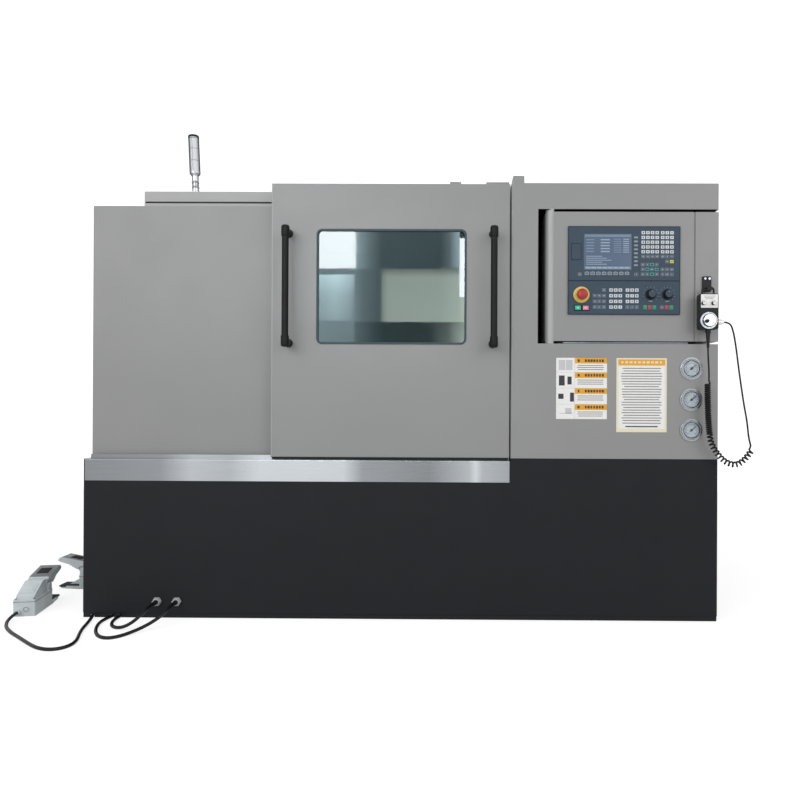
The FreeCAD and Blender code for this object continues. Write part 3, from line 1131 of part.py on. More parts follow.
# ---------------------------------------------------------------- hand pendant
def pendant():
    half = PENDANT_WIDTH / 2
    x0, x1 = PENDANT_X - half, PENDANT_X + half
    body = plate(x0, x1, PENDANT_FACE_Y, PENDANT_BACK_Y, PENDANT_Z0, PENDANT_Z1, [9, 9, 6, 6])
    badge = plate(x0 + 2, x1 - 2, PENDANT_FACE_Y - 1, PENDANT_FACE_Y + 1, 1164, PENDANT_Z1 - 2, 3)
    bail_y = (PENDANT_FACE_Y + PENDANT_BACK_Y) / 2
    bail_z = PENDANT_Z1 + BAIL_RISE
    bail_x = (x0 + 14, x1 - 12)
    bail_ends = [V(bail_x[0], bail_y, PENDANT_Z1 - 2), V(bail_x[0], bail_y, bail_z),
                 V(bail_x[1], bail_y, bail_z), V(bail_x[1], bail_y, PENDANT_Z1 - 2)]
    bail = bent_rod(bail_ends, BAIL_R, 8.0)
    relief_top = PENDANT_Z0 + 1
    relief = turned([(0, 0), (0, 9.5), (12, 9.5), (14, 8), (RELIEF_LENGTH, PENDANT_CORD_D / 2 + 1.2),
                     (RELIEF_LENGTH, 0)], V(RELIEF_X, bail_y, relief_top), V(0, 0, -1), V(1, 0, 0))
    tools = [y_rod(WHEEL_X, PENDANT_FACE_Y - 1, PENDANT_FACE_Y + 14, WHEEL_Z, 5 + RUN_FIT)]
    for name, x in SMALL_KNOBS:
        tools.append(y_rod(x, PENDANT_FACE_Y - 3, PENDANT_FACE_Y + 8, SMALL_KNOB_Z, 2.5 + RUN_FIT))
    save("pendant_case", cut(join([body, badge, relief, bail]), tools))

    hook_z = bail_z - BAIL_R
    hook_x0, hook_x1 = HOOK_X[0], bail_x[1] - 2 * BAIL_R
    strap = plate(*HOOK_X, FRONT_Y - 6, FRONT_Y, hook_z - 4, hook_z + HOOK_PLATE, 3)
    shelf = box(hook_x0, hook_x1, bail_y - 8, FRONT_Y - 3, hook_z - 4, hook_z)
    lip = box(hook_x0, hook_x1, bail_y - 8, bail_y - 5, hook_z - 1, hook_z + 7)
    save("pendant_hanger", join([strap, shelf, lip]))

    face = V(WHEEL_X, PENDANT_FACE_Y, WHEEL_Z)
    wheel = turned([(-13, 0), (-13, 5), (SLIDE_GAP, 5), (SLIDE_GAP, WHEEL_R), (7, WHEEL_R),
                    (9, WHEEL_R - 2), (9, WHEEL_R - 6), (17, WHEEL_R - 8), (18, WHEEL_R - 9.5), (18, 0)],
                   face, V(0, -1, 0), V(1, 0, 0))
    crank = y_rod(WHEEL_X - 12, PENDANT_FACE_Y - 28, PENDANT_FACE_Y - 17, WHEEL_Z - 4, 5)
    save("pendant_wheel", join([wheel, crank]))
    for name, x in SMALL_KNOBS:
        gap = 1 + SLIDE_GAP
        knob = turned([(-7, 0), (-7, 2.5), (gap, 2.5), (gap, SMALL_KNOB_R + 1), (4, SMALL_KNOB_R + 1),
                       (4, SMALL_KNOB_R), (10, SMALL_KNOB_R - 0.5), (10, 0)],
                      V(x, PENDANT_FACE_Y, SMALL_KNOB_Z), V(0, -1, 0), V(1, 0, 0))
        bar = plate(x - 1.5, x + 1.5, PENDANT_FACE_Y - 12, PENDANT_FACE_Y - 9, SMALL_KNOB_Z - 5,
                    SMALL_KNOB_Z + 5)
        save(name, join([knob, bar]))

    body = x_rod(BASE_X, BASE_X + SOCKET_LENGTH - 8, SOCKET_Y, SOCKET_Z, SOCKET_R)
    nut = x_rod(BASE_X, BASE_X + 8, SOCKET_Y, SOCKET_Z, SOCKET_R + 3)
    tail = x_rod(BASE_X + SOCKET_LENGTH - 9, BASE_X + SOCKET_LENGTH, SOCKET_Y, SOCKET_Z, SOCKET_R - 3)
    save("cord_socket", join([body, nut, tail]))


# ---------------------------------------------------------------- cords
def route_edges(points):
    """Straight runs joined by tangent arcs, each as large as its two runs allow."""
    edges = []
    radii = []
    leave = points[0]
    for before, here, after in zip(points, points[1:], points[2:]):
        turn_angle = (here - before).getAngle(after - here)
        shorter = min((here - before).Length, (after - here).Length)
        radius = 0.45 * shorter / math.tan(turn_angle / 2)
        start, middle, end = corner(before, here, after, radius)
        edges.append(Part.LineSegment(leave, start).toShape())
        edges.append(Part.Arc(start, middle, end).toShape())
        radii.append(radius)
        leave = end
    edges.append(Part.LineSegment(leave, points[-1]).toShape())
    return edges, radii


def section_wire(centre, direction, diameter, sides):
    """A regular section of the cord's own area, square to its direction."""
    side = V(0, 0, 1) if abs(direction.z) < 0.9 else V(1, 0, 0)
    across_one = direction.cross(side).normalize()
    across_two = direction.cross(across_one).normalize()
    radius = diameter / 2
    spots = []
    for k in range(sides):
        angle = (k + 0.5) * 2 * math.pi / sides
        spots.append(centre + (across_one * math.cos(angle) + across_two * math.sin(angle)) * radius)
    return Part.makePolygon(spots + [spots[0]])


def section_area(diameter, sides):
    return sides / 2 * (diameter / 2) ** 2 * math.sin(2 * math.pi / sides)


def sweep(edges, start, direction, diameter, sides):
    path = Part.Wire(edges)
    tube = path.makePipeShell([section_wire(start, direction, diameter, sides)], True, False)
    expected = section_area(diameter, sides) * path.Length
    return tube, tube.Volume / expected, path.Length


def cord(node, points, diameter, sides=8):
    points = [V(*p) for p in points]
    edges, radii = route_edges(points)
    tube, share, length = sweep(edges, points[0], (points[1] - points[0]).normalize(), diameter, sides)
    print("%s: %d mm long, least radius %.1f mm, volume against section %.4f"
          % (node, length, min(radii), share))
    save(node, tube)


def bow(start, start_way, end):
    """The arc that leaves a point in a given way and reaches another."""
    chord = end - start
    half = start_way.getAngle(chord) / 2
    rise = (start_way - chord * (start_way.dot(chord) / chord.dot(chord)))
    if rise.Length < 1e-7:
        return Part.LineSegment(start, end).toShape()
    middle = start + chord * 0.5 + rise.normalize() * (chord.Length / 2 * math.tan(half))
    return Part.Arc(start, middle, end).toShape()


def biarc(p0, t0, p1, t1):
    """Two arcs that join two points and keep the direction at both."""
    gap = p1 - p0
    both = t0 + t1
    a = 2 * (1 - t0.dot(t1))
    b = gap.dot(both)
    reach = (-b + math.sqrt(b * b + a * gap.dot(gap))) / a
    meet = (p0 + p1 + (t0 - t1) * reach) * 0.5
    back = bow(p1, t1 * -1, meet)
    return [bow(p0, t0, meet), back]


class CoilPath:
    """The line that the curls wind round: runs and arcs in one upright plane."""

    def __init__(self, points):
        self.edges, self.radii = route_edges(points)
        self.length = sum(e.Length for e in self.edges)

    def at(self, way):
        for edge in self.edges:
            if way <= edge.Length or edge is self.edges[-1]:
                break
            way -= edge.Length
        u = edge.getParameterByLength(min(way, edge.Length))
        return edge.valueAt(u), edge.tangentAt(u)


def pendant_cord():
    """The pendant's cord: a straight lead, the curls and a tail up to its socket."""
    r = (COIL_D - PENDANT_CORD_D) / 2
    y = (PENDANT_FACE_Y + PENDANT_BACK_Y) / 2
    top = 888.0
    coil_x = 1133.0
    path = CoilPath([V(coil_x, y, top), V(coil_x + 1, y, 699), V(1166, y, 632), V(1208, y, 592),
                     V(1262, y, 592), V(1295, y, 645)])
    out = V(0, -1, 0)
    tight = COIL_TURNS * COIL_PITCH
    loose = path.length - tight
    turns = COIL_TURNS + round(loose / LOOSE_PITCH)

    def way_at(count):
        if count < COIL_TURNS:
            return count * COIL_PITCH
        return tight + (count - COIL_TURNS) * loose / (turns - COIL_TURNS)

    def spot(count):
        centre, along = path.at(way_at(count))
        side = along.cross(out)
        angle = 2 * math.pi * count
        return centre + (side * -math.cos(angle) + out * math.sin(angle)) * r

    def way(count):
        step = 1e-3
        return (spot(min(count + step, turns)) - spot(max(count - step, 0))).normalize()

    quarter = [k / 4 for k in range(4 * turns + 1)]
    curls = []
    for a, b in zip(quarter, quarter[1:]):
        curls += biarc(spot(a), way(a), spot(b), way(b))

    lead_way = V(0, 0, -1)
    bend = 1.15 * r
    first = spot(0) - way(0) * bend - lead_way * bend
    straight = PENDANT_CORD_D
    entry = first - lead_way * straight
    start = [Part.LineSegment(entry, first).toShape()] + biarc(first, lead_way, spot(0), way(0))

    tail_way = V(-0.25, 0, 1).normalize()
    last = spot(turns)
    reach = last + way(turns) * bend + tail_way * bend
    leave = reach + tail_way * straight
    finish = biarc(last, way(turns), reach, tail_way) + [Part.LineSegment(reach, leave).toShape()]

    tube, share, length = sweep(start + curls + finish, entry, lead_way, PENDANT_CORD_D, CORD_SIDES)
    samples = [spot(k / 16) for k in range(16 * turns + 1)]
    least = min(samples[i].distanceToPoint(samples[j])
                for i in range(0, len(samples), 2) for j in range(i + 10, min(i + 24, len(samples))))
    print("pendant_cord_coil: %d turns, %d mm of cord, least gap to itself %.2f mm, volume %.4f"
          % (turns, length, least - PENDANT_CORD_D, share))
    save("pendant_cord_coil", tube)

    relief_end = PENDANT_Z0 + 1 - RELIEF_LENGTH
    cord("pendant_cord_lead", [(RELIEF_X, y, relief_end), (RELIEF_X + 0.5, y - 0.5, relief_end - 35),
                               (entry.x + 0.3, entry.y + 0.4, entry.z + 30), tuple(entry)],
         PENDANT_CORD_D, CORD_SIDES)
    x_end = BASE_X + SOCKET_LENGTH
    cord("pendant_cord_tail",
         [tuple(leave), tuple(leave + tail_way * 28), (1284, -780, 748), (1276, -770, 812),
          (1271, -758, 880), (1268, -745, 940), (1267, -730, 1000), (1266, -716, 1050),
          (1263, -706, 1090), (x_end + 26, SOCKET_Y, SOCKET_Z), (x_end, SOCKET_Y, SOCKET_Z)],
         PENDANT_CORD_D, CORD_SIDES)


def pedal_point(pedal, u, v, z):
    """A point on a foot switch: u from its cord end to its treadle, v across, z up."""
    place, heading = pedal
    angle = math.radians(heading)
    along = V(-math.sin(angle), math.cos(angle), 0)
    side = V(math.cos(angle), math.sin(angle), 0)
    return place + along * u + side * v + V(0, 0, z)


def pedal_cords():
    r = PEDAL_CORD_D / 2
    y = FRONT_Y - GLAND_LENGTH
    inlet, clear = [pedal_point(FRONT_PEDAL, -PEDAL_INLET - run, PEDAL_CORD_V, PEDAL_CORD_Z)
                    for run in (0, CORD_RUN)]
    cord("front_pedal_cord",
         [tuple(inlet), tuple(clear), (-1422, -832, 9), (-1392, -882, r),
          (-1340, -935, r), (-1279, -985, r), (-1215, -1040, r), (-1165, -1078, r),
          (-1120, -1094, r), (-1084, -1083, r), (-1066, -1050, r), (-1072, -1005, r), (-1092, -955, r),
          (-1112, -900, r), (-1126, -840, r), (-1140, -785, r), (-1158, -732, r), (-1166, -690, r),
          (-1166, -649, r), (-1137, -620, r), (-1095, -620, r), (-1066, -649, r), (-1068, -700, r),
          (-1084, -755, r), (-1090, -812, r),
          (-1075, -870, r), (-1050, -925, r), (-1018, -968, r), (-982, -985, r), (-950, -968, r),
          (-925, -935, 8), (-897, -902, 15), (-866, -874, 30), (-840, -852, 50),
          (GLANDS[0], y - CORD_RUN, GLAND_Z), (GLANDS[0], y, GLAND_Z)],
         PEDAL_CORD_D)
    inlet, clear = [pedal_point(REAR_PEDAL, -PEDAL_INLET - run, PEDAL_CORD_V, PEDAL_CORD_Z)
                    for run in (0, REAR_CORD_RUN)]
    cord("rear_pedal_cord",
         [tuple(inlet), tuple(clear), (-1180, -345, r), (-1148, -350, r), (-1098, -366, r),
          (-1045, -398, r), (-1012, -446, r), (-1000, -505, r), (-1004, -565, r), (-1018, -625, r),
          (-1036, -685, r), (-1052, -745, r), (-1050, -800, r), (-1032, -850, r), (-1003, -878, r),
          (-970, -885, 11), (-940, -876, 27), (-918, -855, 49),
          (GLANDS[1], y - CORD_RUN, GLAND_Z), (GLANDS[1], y, GLAND_Z)],
         PEDAL_CORD_D)


def cable_glands():
    glands = []
    edge = GLAND_R + 3
    for x in GLANDS:
        nut = [(x + edge * math.cos(k * math.pi / 3), GLAND_Z + edge * math.sin(k * math.pi / 3))
               for k in range(6)]
        body = prism(nut, facing_front(FRONT_Y - GLAND_NUT), V(0, GLAND_NUT, 0))
        core = y_rod(x, FRONT_Y - GLAND_NUT, FRONT_Y + GLAND_DEPTH - 1, GLAND_Z, GLAND_CORE_R)
        sleeve = Part.makeCone(GLAND_CORE_R, PEDAL_CORD_D / 2 + 1.5, GLAND_LENGTH - GLAND_NUT,
                               V(x, FRONT_Y - GLAND_NUT, GLAND_Z), V(0, -1, 0))
        glands.append(join([body, core, sleeve]))
    save("cable_glands", *glands)


# ---------------------------------------------------------------- foot switches
def place_pedal(shape, pedal):
    place, heading = pedal
    copy = shape.copy()
    copy.Placement = FreeCAD.Placement(place, FreeCAD.Rotation(V(0, 0, 1), heading))
    return copy


def foot_switches():
    half = PEDAL_WIDTH / 2
    side_view = lambda v: (lambda u, z: V(v, u, z))
    base = prism([(-half, 0), (half, 0), (half, PEDAL_CASE_LENGTH), (half - 10, PEDAL_LENGTH),
                  (-half + 10, PEDAL_LENGTH), (-half, PEDAL_CASE_LENGTH)],
                 on_floor(0), V(0, 0, 12), [4, 4, 30, 18, 18, 30])
    case = column(-half, half, 0, PEDAL_CASE_LENGTH, 0, PEDAL_CASE_HEIGHT, 5)
    inlet = rod(V(PEDAL_CORD_V, -PEDAL_INLET, PEDAL_CORD_Z), V(PEDAL_CORD_V, 2, PEDAL_CORD_Z), 10)
    plug = rod(V(8, -3, 28), V(8, 2, 28), 11)
    heel = prism([(PEDAL_CASE_LENGTH - 2, 12), (PEDAL_CASE_LENGTH + 60, 12), (PEDAL_CASE_LENGTH - 2, 46)],
                 side_view(-5), V(10, 0, 0))
    lower = join([base, case, inlet, plug, heel])

    top = PEDAL_CASE_HEIGHT + PEDAL_FLANGE
    flange = column(-half, half, 0, PEDAL_CASE_LENGTH, PEDAL_CASE_HEIGHT, top, 5)
    inner = half - 7
    roof = prism([(10, top - 1), (10, top + 12), (84, PEDAL_COVER_TOP), (112, PEDAL_COVER_TOP),
                  (122, top - 1)], side_view(-inner), V(2 * inner, 0, 0), [0, 5, 12, 8, 0])
    pivot_u, pivot_z = TREADLE_PIVOT
    ears = []
    for v in (-half + 2, half - 10):
        ear = prism([(pivot_u - 14, top - 1), (pivot_u - 14, pivot_z + 13), (pivot_u + 14, pivot_z + 13),
                     (pivot_u + 14, top - 1)], side_view(v), V(8, 0, 0), [0, 13, 13, 0])
        ears.append(ear)
    screws = []
    for v in (-half + 7, half - 7):
        for u in (7, PEDAL_CASE_LENGTH - 7):
            screws.append(z_rod(v, u, top - 1, top + 2, 3.5))
    pin_hole = rod(V(-half - 1, pivot_u, pivot_z), V(half + 1, pivot_u, pivot_z), TREADLE_PIN_R + RUN_FIT)
    upper = cut(join([flange, roof] + ears + screws), [pin_hole])

    tread = TREADLE_WIDTH / 2
    hub = half - 10 - SLIDE_GAP
    deck = prism([(126, 106), (126, 116), (240, 138), (254, 124), (246, 118), (205, 106), (168, 84),
                  (160, 96)], side_view(-tread), V(2 * tread, 0, 0), [0, 3, 14, 4, 4, 40, 3, 4])
    web = prism([(pivot_u - 12, pivot_z - 9), (pivot_u + 14, pivot_z - 9), (190, 110), (131, 108),
                 (pivot_u - 12, 96)], side_view(-hub), V(2 * hub, 0, 0), [7, 7, 0, 0, 0])
    pin = rod(V(-half + 1, pivot_u, pivot_z), V(half - 1, pivot_u, pivot_z), TREADLE_PIN_R)
    treadle = join([deck, web, pin])

    housings = []
    for node, pedal in (("front_treadle", FRONT_PEDAL), ("rear_treadle", REAR_PEDAL)):
        housings += [place_pedal(lower, pedal), place_pedal(upper, pedal)]
        save(node, place_pedal(treadle, pedal))
    save("foot_switch_housings", *housings)


def build():
    os.makedirs("parts", exist_ok=True)
    for maker in (machine_base, levelling_feet, front_strip, chip_tray, slant_bed, guide_rails, headstock,
                  drive_motors, drive_belt, motor_pulley, left_cover, rear_housing, door_rail_box,
                  right_cabinet, hydraulic_unit, pressure_gauges, signal_lamp, door_panel, door_window,
                  door_handles, spindle, chuck, carriage, cross_slide, turret, z_ballscrew, tailstock,
                  control_box, display_unit, machine_panel, panel_controls, pendant, pendant_cord,
                  cable_glands, foot_switches, pedal_cords):
        maker()


build()
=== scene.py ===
import math

import bmesh
import bpy
from mathutils import Euler, Matrix, Vector


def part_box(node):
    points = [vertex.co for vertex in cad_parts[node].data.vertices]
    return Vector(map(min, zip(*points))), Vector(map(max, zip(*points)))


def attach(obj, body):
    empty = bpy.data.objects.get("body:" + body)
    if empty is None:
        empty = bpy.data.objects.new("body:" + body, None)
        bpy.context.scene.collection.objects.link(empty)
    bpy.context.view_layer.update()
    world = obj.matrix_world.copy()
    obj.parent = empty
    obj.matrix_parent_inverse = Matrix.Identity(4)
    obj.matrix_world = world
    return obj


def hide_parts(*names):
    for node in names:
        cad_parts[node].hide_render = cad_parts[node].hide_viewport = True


# Looks of a full-enclosure slant-bed turning lathe, in metres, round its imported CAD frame.

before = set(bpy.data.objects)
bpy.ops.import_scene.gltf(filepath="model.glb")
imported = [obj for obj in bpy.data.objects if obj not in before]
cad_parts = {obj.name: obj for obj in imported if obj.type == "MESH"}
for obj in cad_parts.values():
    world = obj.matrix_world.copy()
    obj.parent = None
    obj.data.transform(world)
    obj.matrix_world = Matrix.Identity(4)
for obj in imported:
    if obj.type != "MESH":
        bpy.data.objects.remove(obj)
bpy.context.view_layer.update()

MM = 0.001
FRONT_TURN = (math.radians(90), 0.0, 0.0)       # a piece grown along +Z is turned to face -Y
LEFT_TURN = (0.0, math.radians(-90), 0.0)
RIGHT_TURN = (0.0, math.radians(90), 0.0)
BACK_TURN = (math.radians(-90), 0.0, 0.0)
UP_TURN = (0.0, 0.0, 0.0)


def mm(x, y, z):
    """A place given in millimetres, as a vector in metres."""
    return Vector((x, y, z)) * MM


def front_of(name):
    """A node's middle across, its front and its middle height, in millimetres."""
    low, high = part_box(name)
    return (low.x + high.x) / 2 / MM, low.y / MM, (low.z + high.z) / 2 / MM


def put(name, data):
    """A new object in the scene."""
    made = bpy.data.objects.new(name, data)
    bpy.context.scene.collection.objects.link(made)
    return made


def baked(holder):
    """The mesh that an object shows once its modifiers and curves are worked out; the object goes."""
    mesh = bpy.data.meshes.new_from_object(holder.evaluated_get(bpy.context.evaluated_depsgraph_get()))
    bpy.data.objects.remove(holder)
    return mesh


def mesh_from(name, verts, faces=()):
    """A mesh of corners and faces."""
    mesh = bpy.data.meshes.new(name)
    mesh.from_pydata(verts, [], faces)
    return mesh


# ---------------------------------------------------------------- places read from the frame
base_low, base_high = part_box("machine_base")
cover_low, cover_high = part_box("left_cover")
cabinet_low, cabinet_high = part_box("right_cabinet")
housing_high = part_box("rear_housing")[1]
rail_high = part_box("door_rail_box")[1]
door_low, door_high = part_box("door_panel")
glass_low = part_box("door_window")[0]
handles_low, handles_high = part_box("door_handles")
screen_low, screen_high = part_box("screen")
display_low, display_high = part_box("display_unit")
machine_low, machine_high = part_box("machine_panel")
control_low, control_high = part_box("control_box")
chuck_low, chuck_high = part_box("chuck_body")

PANEL_X0 = display_low.x
PANEL_TOP = display_high.z
PANEL_SPLIT = machine_high.z
KEY_FACE = display_low.y
PANEL_FACE = KEY_FACE / MM + 1.0                # in millimetres; the keys stand 1 mm over the panel
ROOF = 1638.0                                   # height of the cabinet's roof in millimetres
# ---------------------------------------------------------------- photograph
PHOTO_PX = 800.0
FOCAL_PX = 681.0
CENTRE_PX = 440.0
CAMERA_PLACE = Vector((0.166, -3.300, 0.819))
CAMERA_YAW = math.radians(0.36)
CAMERA_PITCH = math.radians(-0.11)
CAMERA_ROLL = math.radians(0.27)
YAW_PX = FOCAL_PX * math.tan(CAMERA_YAW)
PITCH_PX = -FOCAL_PX * math.tan(CAMERA_PITCH)


def make_camera():
    """The photograph's view: its lens, place and turn."""
    data = bpy.data.cameras.new("photo_camera")
    data.sensor_width = 36.0
    data.lens = FOCAL_PX / PHOTO_PX * data.sensor_width
    data.shift_x = (PHOTO_PX / 2 - CENTRE_PX) / PHOTO_PX
    data.clip_end = 60.0
    camera = put("photo_camera", data)
    turn = (Matrix.Rotation(CAMERA_YAW, 4, "Z") @ Matrix.Rotation(math.radians(90) - CAMERA_PITCH, 4, "X")
            @ Matrix.Rotation(CAMERA_ROLL, 4, "Z"))
    camera.matrix_world = Matrix.Translation(CAMERA_PLACE) @ turn
    bpy.context.scene.camera = camera


# ---------------------------------------------------------------- finishes
# Painted reflections on the stainless strip: its tone along X, in metres from the machine's middle.
STRIP_REFLECTION_TONES = ((-1.18, 0.45), (-0.90, 0.51), (-0.785, 0.84), (-0.64, 0.76), (-0.53, 1.03), (-0.21, 1.0),
               (-0.14, 0.55), (0.11, 0.44), (0.26, 0.78), (0.285, 1.1), (0.31, 0.76), (0.41, 0.64))

# Painted highlight on the control box's folded left edge: its tone along X.
CORNER_HIGHLIGHT_TONES = ((0.5445, 0.5), (0.5500, 0.72), (0.5560, 0.98), (0.5630, 0.74), (0.5745, 0.52))


def srgb(r, g, b):
    """A colour read off a photograph in steps of 255, as the linear colour that a shader takes."""
    def linear(step):
        c = step / 255
        return c / 12.92 if c <= 0.04045 else ((c + 0.055) / 1.055) ** 2.4
    return (linear(r), linear(g), linear(b), 1.0)


def shade(colour, share):
    """A colour made darker or lighter by a share, no lighter than white."""
    return tuple(min(c * share, 1.0) for c in colour[:3]) + (1.0,)


def add_node(tree, kind, links=None, **settings):
    """A node with its settings and inputs; an input is a number, a colour or another node's output."""
    node = tree.nodes.new(kind)
    for key, value in settings.items():
        setattr(node, key, value)
    for key, value in (links or {}).items():
        if isinstance(value, bpy.types.NodeSocket):
            tree.links.new(value, node.inputs[key])
        else:
            node.inputs[key].default_value = value
    return node


class Finish:
    """A material built up from its plain shader by the details that the real finish has."""

    def __init__(self, name, colour, roughness, metallic=0.0, **sockets):
        self.material = bpy.data.materials.new(name)
        self.material.use_nodes = True
        self.tree = self.material.node_tree
        self.shader = self.tree.nodes["Principled BSDF"]
        self.colour = colour
        self.shader.inputs["Base Color"].default_value = colour
        self.shader.inputs["Roughness"].default_value = roughness
        self.shader.inputs["Metallic"].default_value = metallic
        for key, value in sockets.items():
            self.shader.inputs[key.replace("_", " ")].default_value = value
        self.place = add_node(self.tree, "ShaderNodeTexCoord").outputs["Object"]
        self.bumps = []

    def stretched(self, scale):
        """The surface's own coordinates, drawn out by a factor each way."""
        return add_node(self.tree, "ShaderNodeMapping", {"Vector": self.place, "Scale": scale}).outputs[0]

    def noise(self, scale, stretch=None, detail=3.0):
        """Cloudy noise from 0 to 1."""
        where = self.stretched(stretch) if stretch else self.place
        return add_node(self.tree, "ShaderNodeTexNoise",
                        {"Vector": where, "Scale": scale, "Detail": detail}).outputs["Fac"]

    def between(self, factor, low, high, start=0.3, end=0.7):
        """A factor's span from start to end, spread from low to high."""
        return add_node(self.tree, "ShaderNodeMapRange",
                        {"Value": factor, "From Min": start, "From Max": end, "To Min": low,
                         "To Max": high}).outputs["Result"]

    def blended(self, factor, first, second):
        """Colour that goes from a first to a second one with a factor."""
        mix = add_node(self.tree, "ShaderNodeMix", data_type="RGBA")
        self.tree.links.new(factor, mix.inputs["Factor"])
        mix.inputs[6].default_value = first
        mix.inputs[7].default_value = second
        self.tree.links.new(mix.outputs[2], self.shader.inputs["Base Color"])
        return self

    def mottled(self, scale, amount, stretch=None):
        """Colour that drifts a little over the surface."""
        drift = self.between(self.noise(scale, stretch), 0.0, 1.0)
        return self.blended(drift, shade(self.colour, 1 - amount), shade(self.colour, 1 + amount))

    def patchy(self, scale, low, high, stretch=None):
        """Roughness that drifts between two values."""
        result = self.between(self.noise(scale, stretch), low, high)
        self.tree.links.new(result, self.shader.inputs["Roughness"])
        return self

    def grained(self, scale, height, stretch=None, detail=3.0):
        """Relief of a given height in millimetres."""
        links = {"Height": self.noise(scale, stretch, detail), "Distance": height * MM, "Strength": 1.0}
        if self.bumps:
            links["Normal"] = self.bumps[-1]
        self.bumps.append(add_node(self.tree, "ShaderNodeBump", links).outputs["Normal"])
        self.tree.links.new(self.bumps[-1], self.shader.inputs["Normal"])
        return self

    def painted_dark_rim(self, middle, rim, start=0.16, end=0.46):
        """Painted reflection: clear plastic or bright plating drawn darker in its base colour where it is
        seen edge on.
        """
        facing = add_node(self.tree, "ShaderNodeLayerWeight", {"Blend": 0.5}).outputs["Facing"]
        return self.blended(self.between(facing, 0.0, 1.0, start, end), middle, rim)

    def painted_light_along_x(self, spots):
        """Painted light and shade along X: spots of (place in metres, share of the colour)."""
        x = add_node(self.tree, "ShaderNodeSeparateXYZ", {0: self.place}).outputs[0]
        first, last = spots[0][0], spots[-1][0]
        ramp = add_node(self.tree, "ShaderNodeValToRGB", {"Fac": self.between(x, 0.0, 1.0, first, last)})
        stops = ramp.color_ramp.elements
        while len(stops) < len(spots):
            stops.new(0.5)
        for stop, (place, share) in zip(stops, spots):
            stop.position = (place - first) / (last - first)
            stop.color = shade(self.colour, share)
        self.tree.links.new(ramp.outputs["Color"], self.shader.inputs["Base Color"])
        return self


def rolled_stainless():
    """Bright rolled sheet, brushed along its length, with painted reflections that make it lighter and darker
    from end to end.
    """
    lengthwise = (4.0, 900.0, 900.0)
    sheet = Finish("rolled_stainless", srgb(186, 190, 194), 0.3, 1.0)
    # The strip's tones along X are painted reflections.
    return sheet.painted_light_along_x(STRIP_REFLECTION_TONES).patchy(1.0, 0.24, 0.4, lengthwise).grained(1.0, 0.02, lengthwise).material


def enamel(name, colour, roughness=0.42):
    """Textured spray enamel on sheet: fine orange peel, slow waves of the sheet, faint handling marks."""
    return (Finish(name, colour, roughness, Coat_Weight=0.08, Coat_Roughness=0.3)
            .mottled(3.0, 0.02).patchy(9.0, roughness - 0.05, roughness + 0.07)
            .grained(900.0, 0.05).grained(2.2, 0.5).material)


def cast(name, colour, roughness=0.6):
    """Painted casting: pebbled skin under thick paint."""
    return (Finish(name, colour, roughness).mottled(14.0, 0.06).patchy(30.0, roughness - 0.1, roughness + 0.1)
            .grained(220.0, 0.25).grained(18.0, 0.6).material)


def machined(name, colour, roughness=0.28):
    """Turned or ground steel, with fine tool marks and a thin film of oil."""
    return (Finish(name, colour, roughness, 1.0).mottled(25.0, 0.06)
            .patchy(40.0, roughness - 0.08, roughness + 0.12).grained(1400.0, 0.01).material)


def moulded(name, colour, roughness=0.45, grain=0.04, shine=0.5):
    """Injection-moulded plastic with a spark-eroded grain."""
    return (Finish(name, colour, roughness, Specular_IOR_Level=shine).mottled(60.0, 0.04)
            .patchy(120.0, roughness - 0.05, roughness + 0.08).grained(1600.0, grain).material)


def printed(name, colour, roughness=0.35):
    """Ink or film on a plate: even, faintly glossy."""
    return (Finish(name, colour, roughness).mottled(150.0, 0.03)
            .patchy(80.0, roughness - 0.05, roughness + 0.05).grained(700.0, 0.005).material)


# Colours, in steps of 255, of the finishes that are made alike and named by their key.
INKS = {"white_film": (250, 250, 248), "cream_film": (244, 236, 208), "orange_ink": (240, 171, 4),
        "black_ink": (40, 40, 42), "grey_ink": (150, 152, 154), "line_ink": (112, 114, 116),
        "pale_ink": (206, 208, 210), "key_mark": (52, 62, 76)}
DISPLAY_TONES = {"display_pale": (122, 144, 168), "display_dark": (88, 108, 134),
                 "display_white": (160, 178, 198)}
CAP_TONES = {"key_white": (216, 220, 224), "key_yellow": (222, 214, 60), "key_teal": (48, 178, 160),
             "key_red": (210, 60, 80), "key_green": (40, 168, 110), "key_rim": (150, 160, 172)}


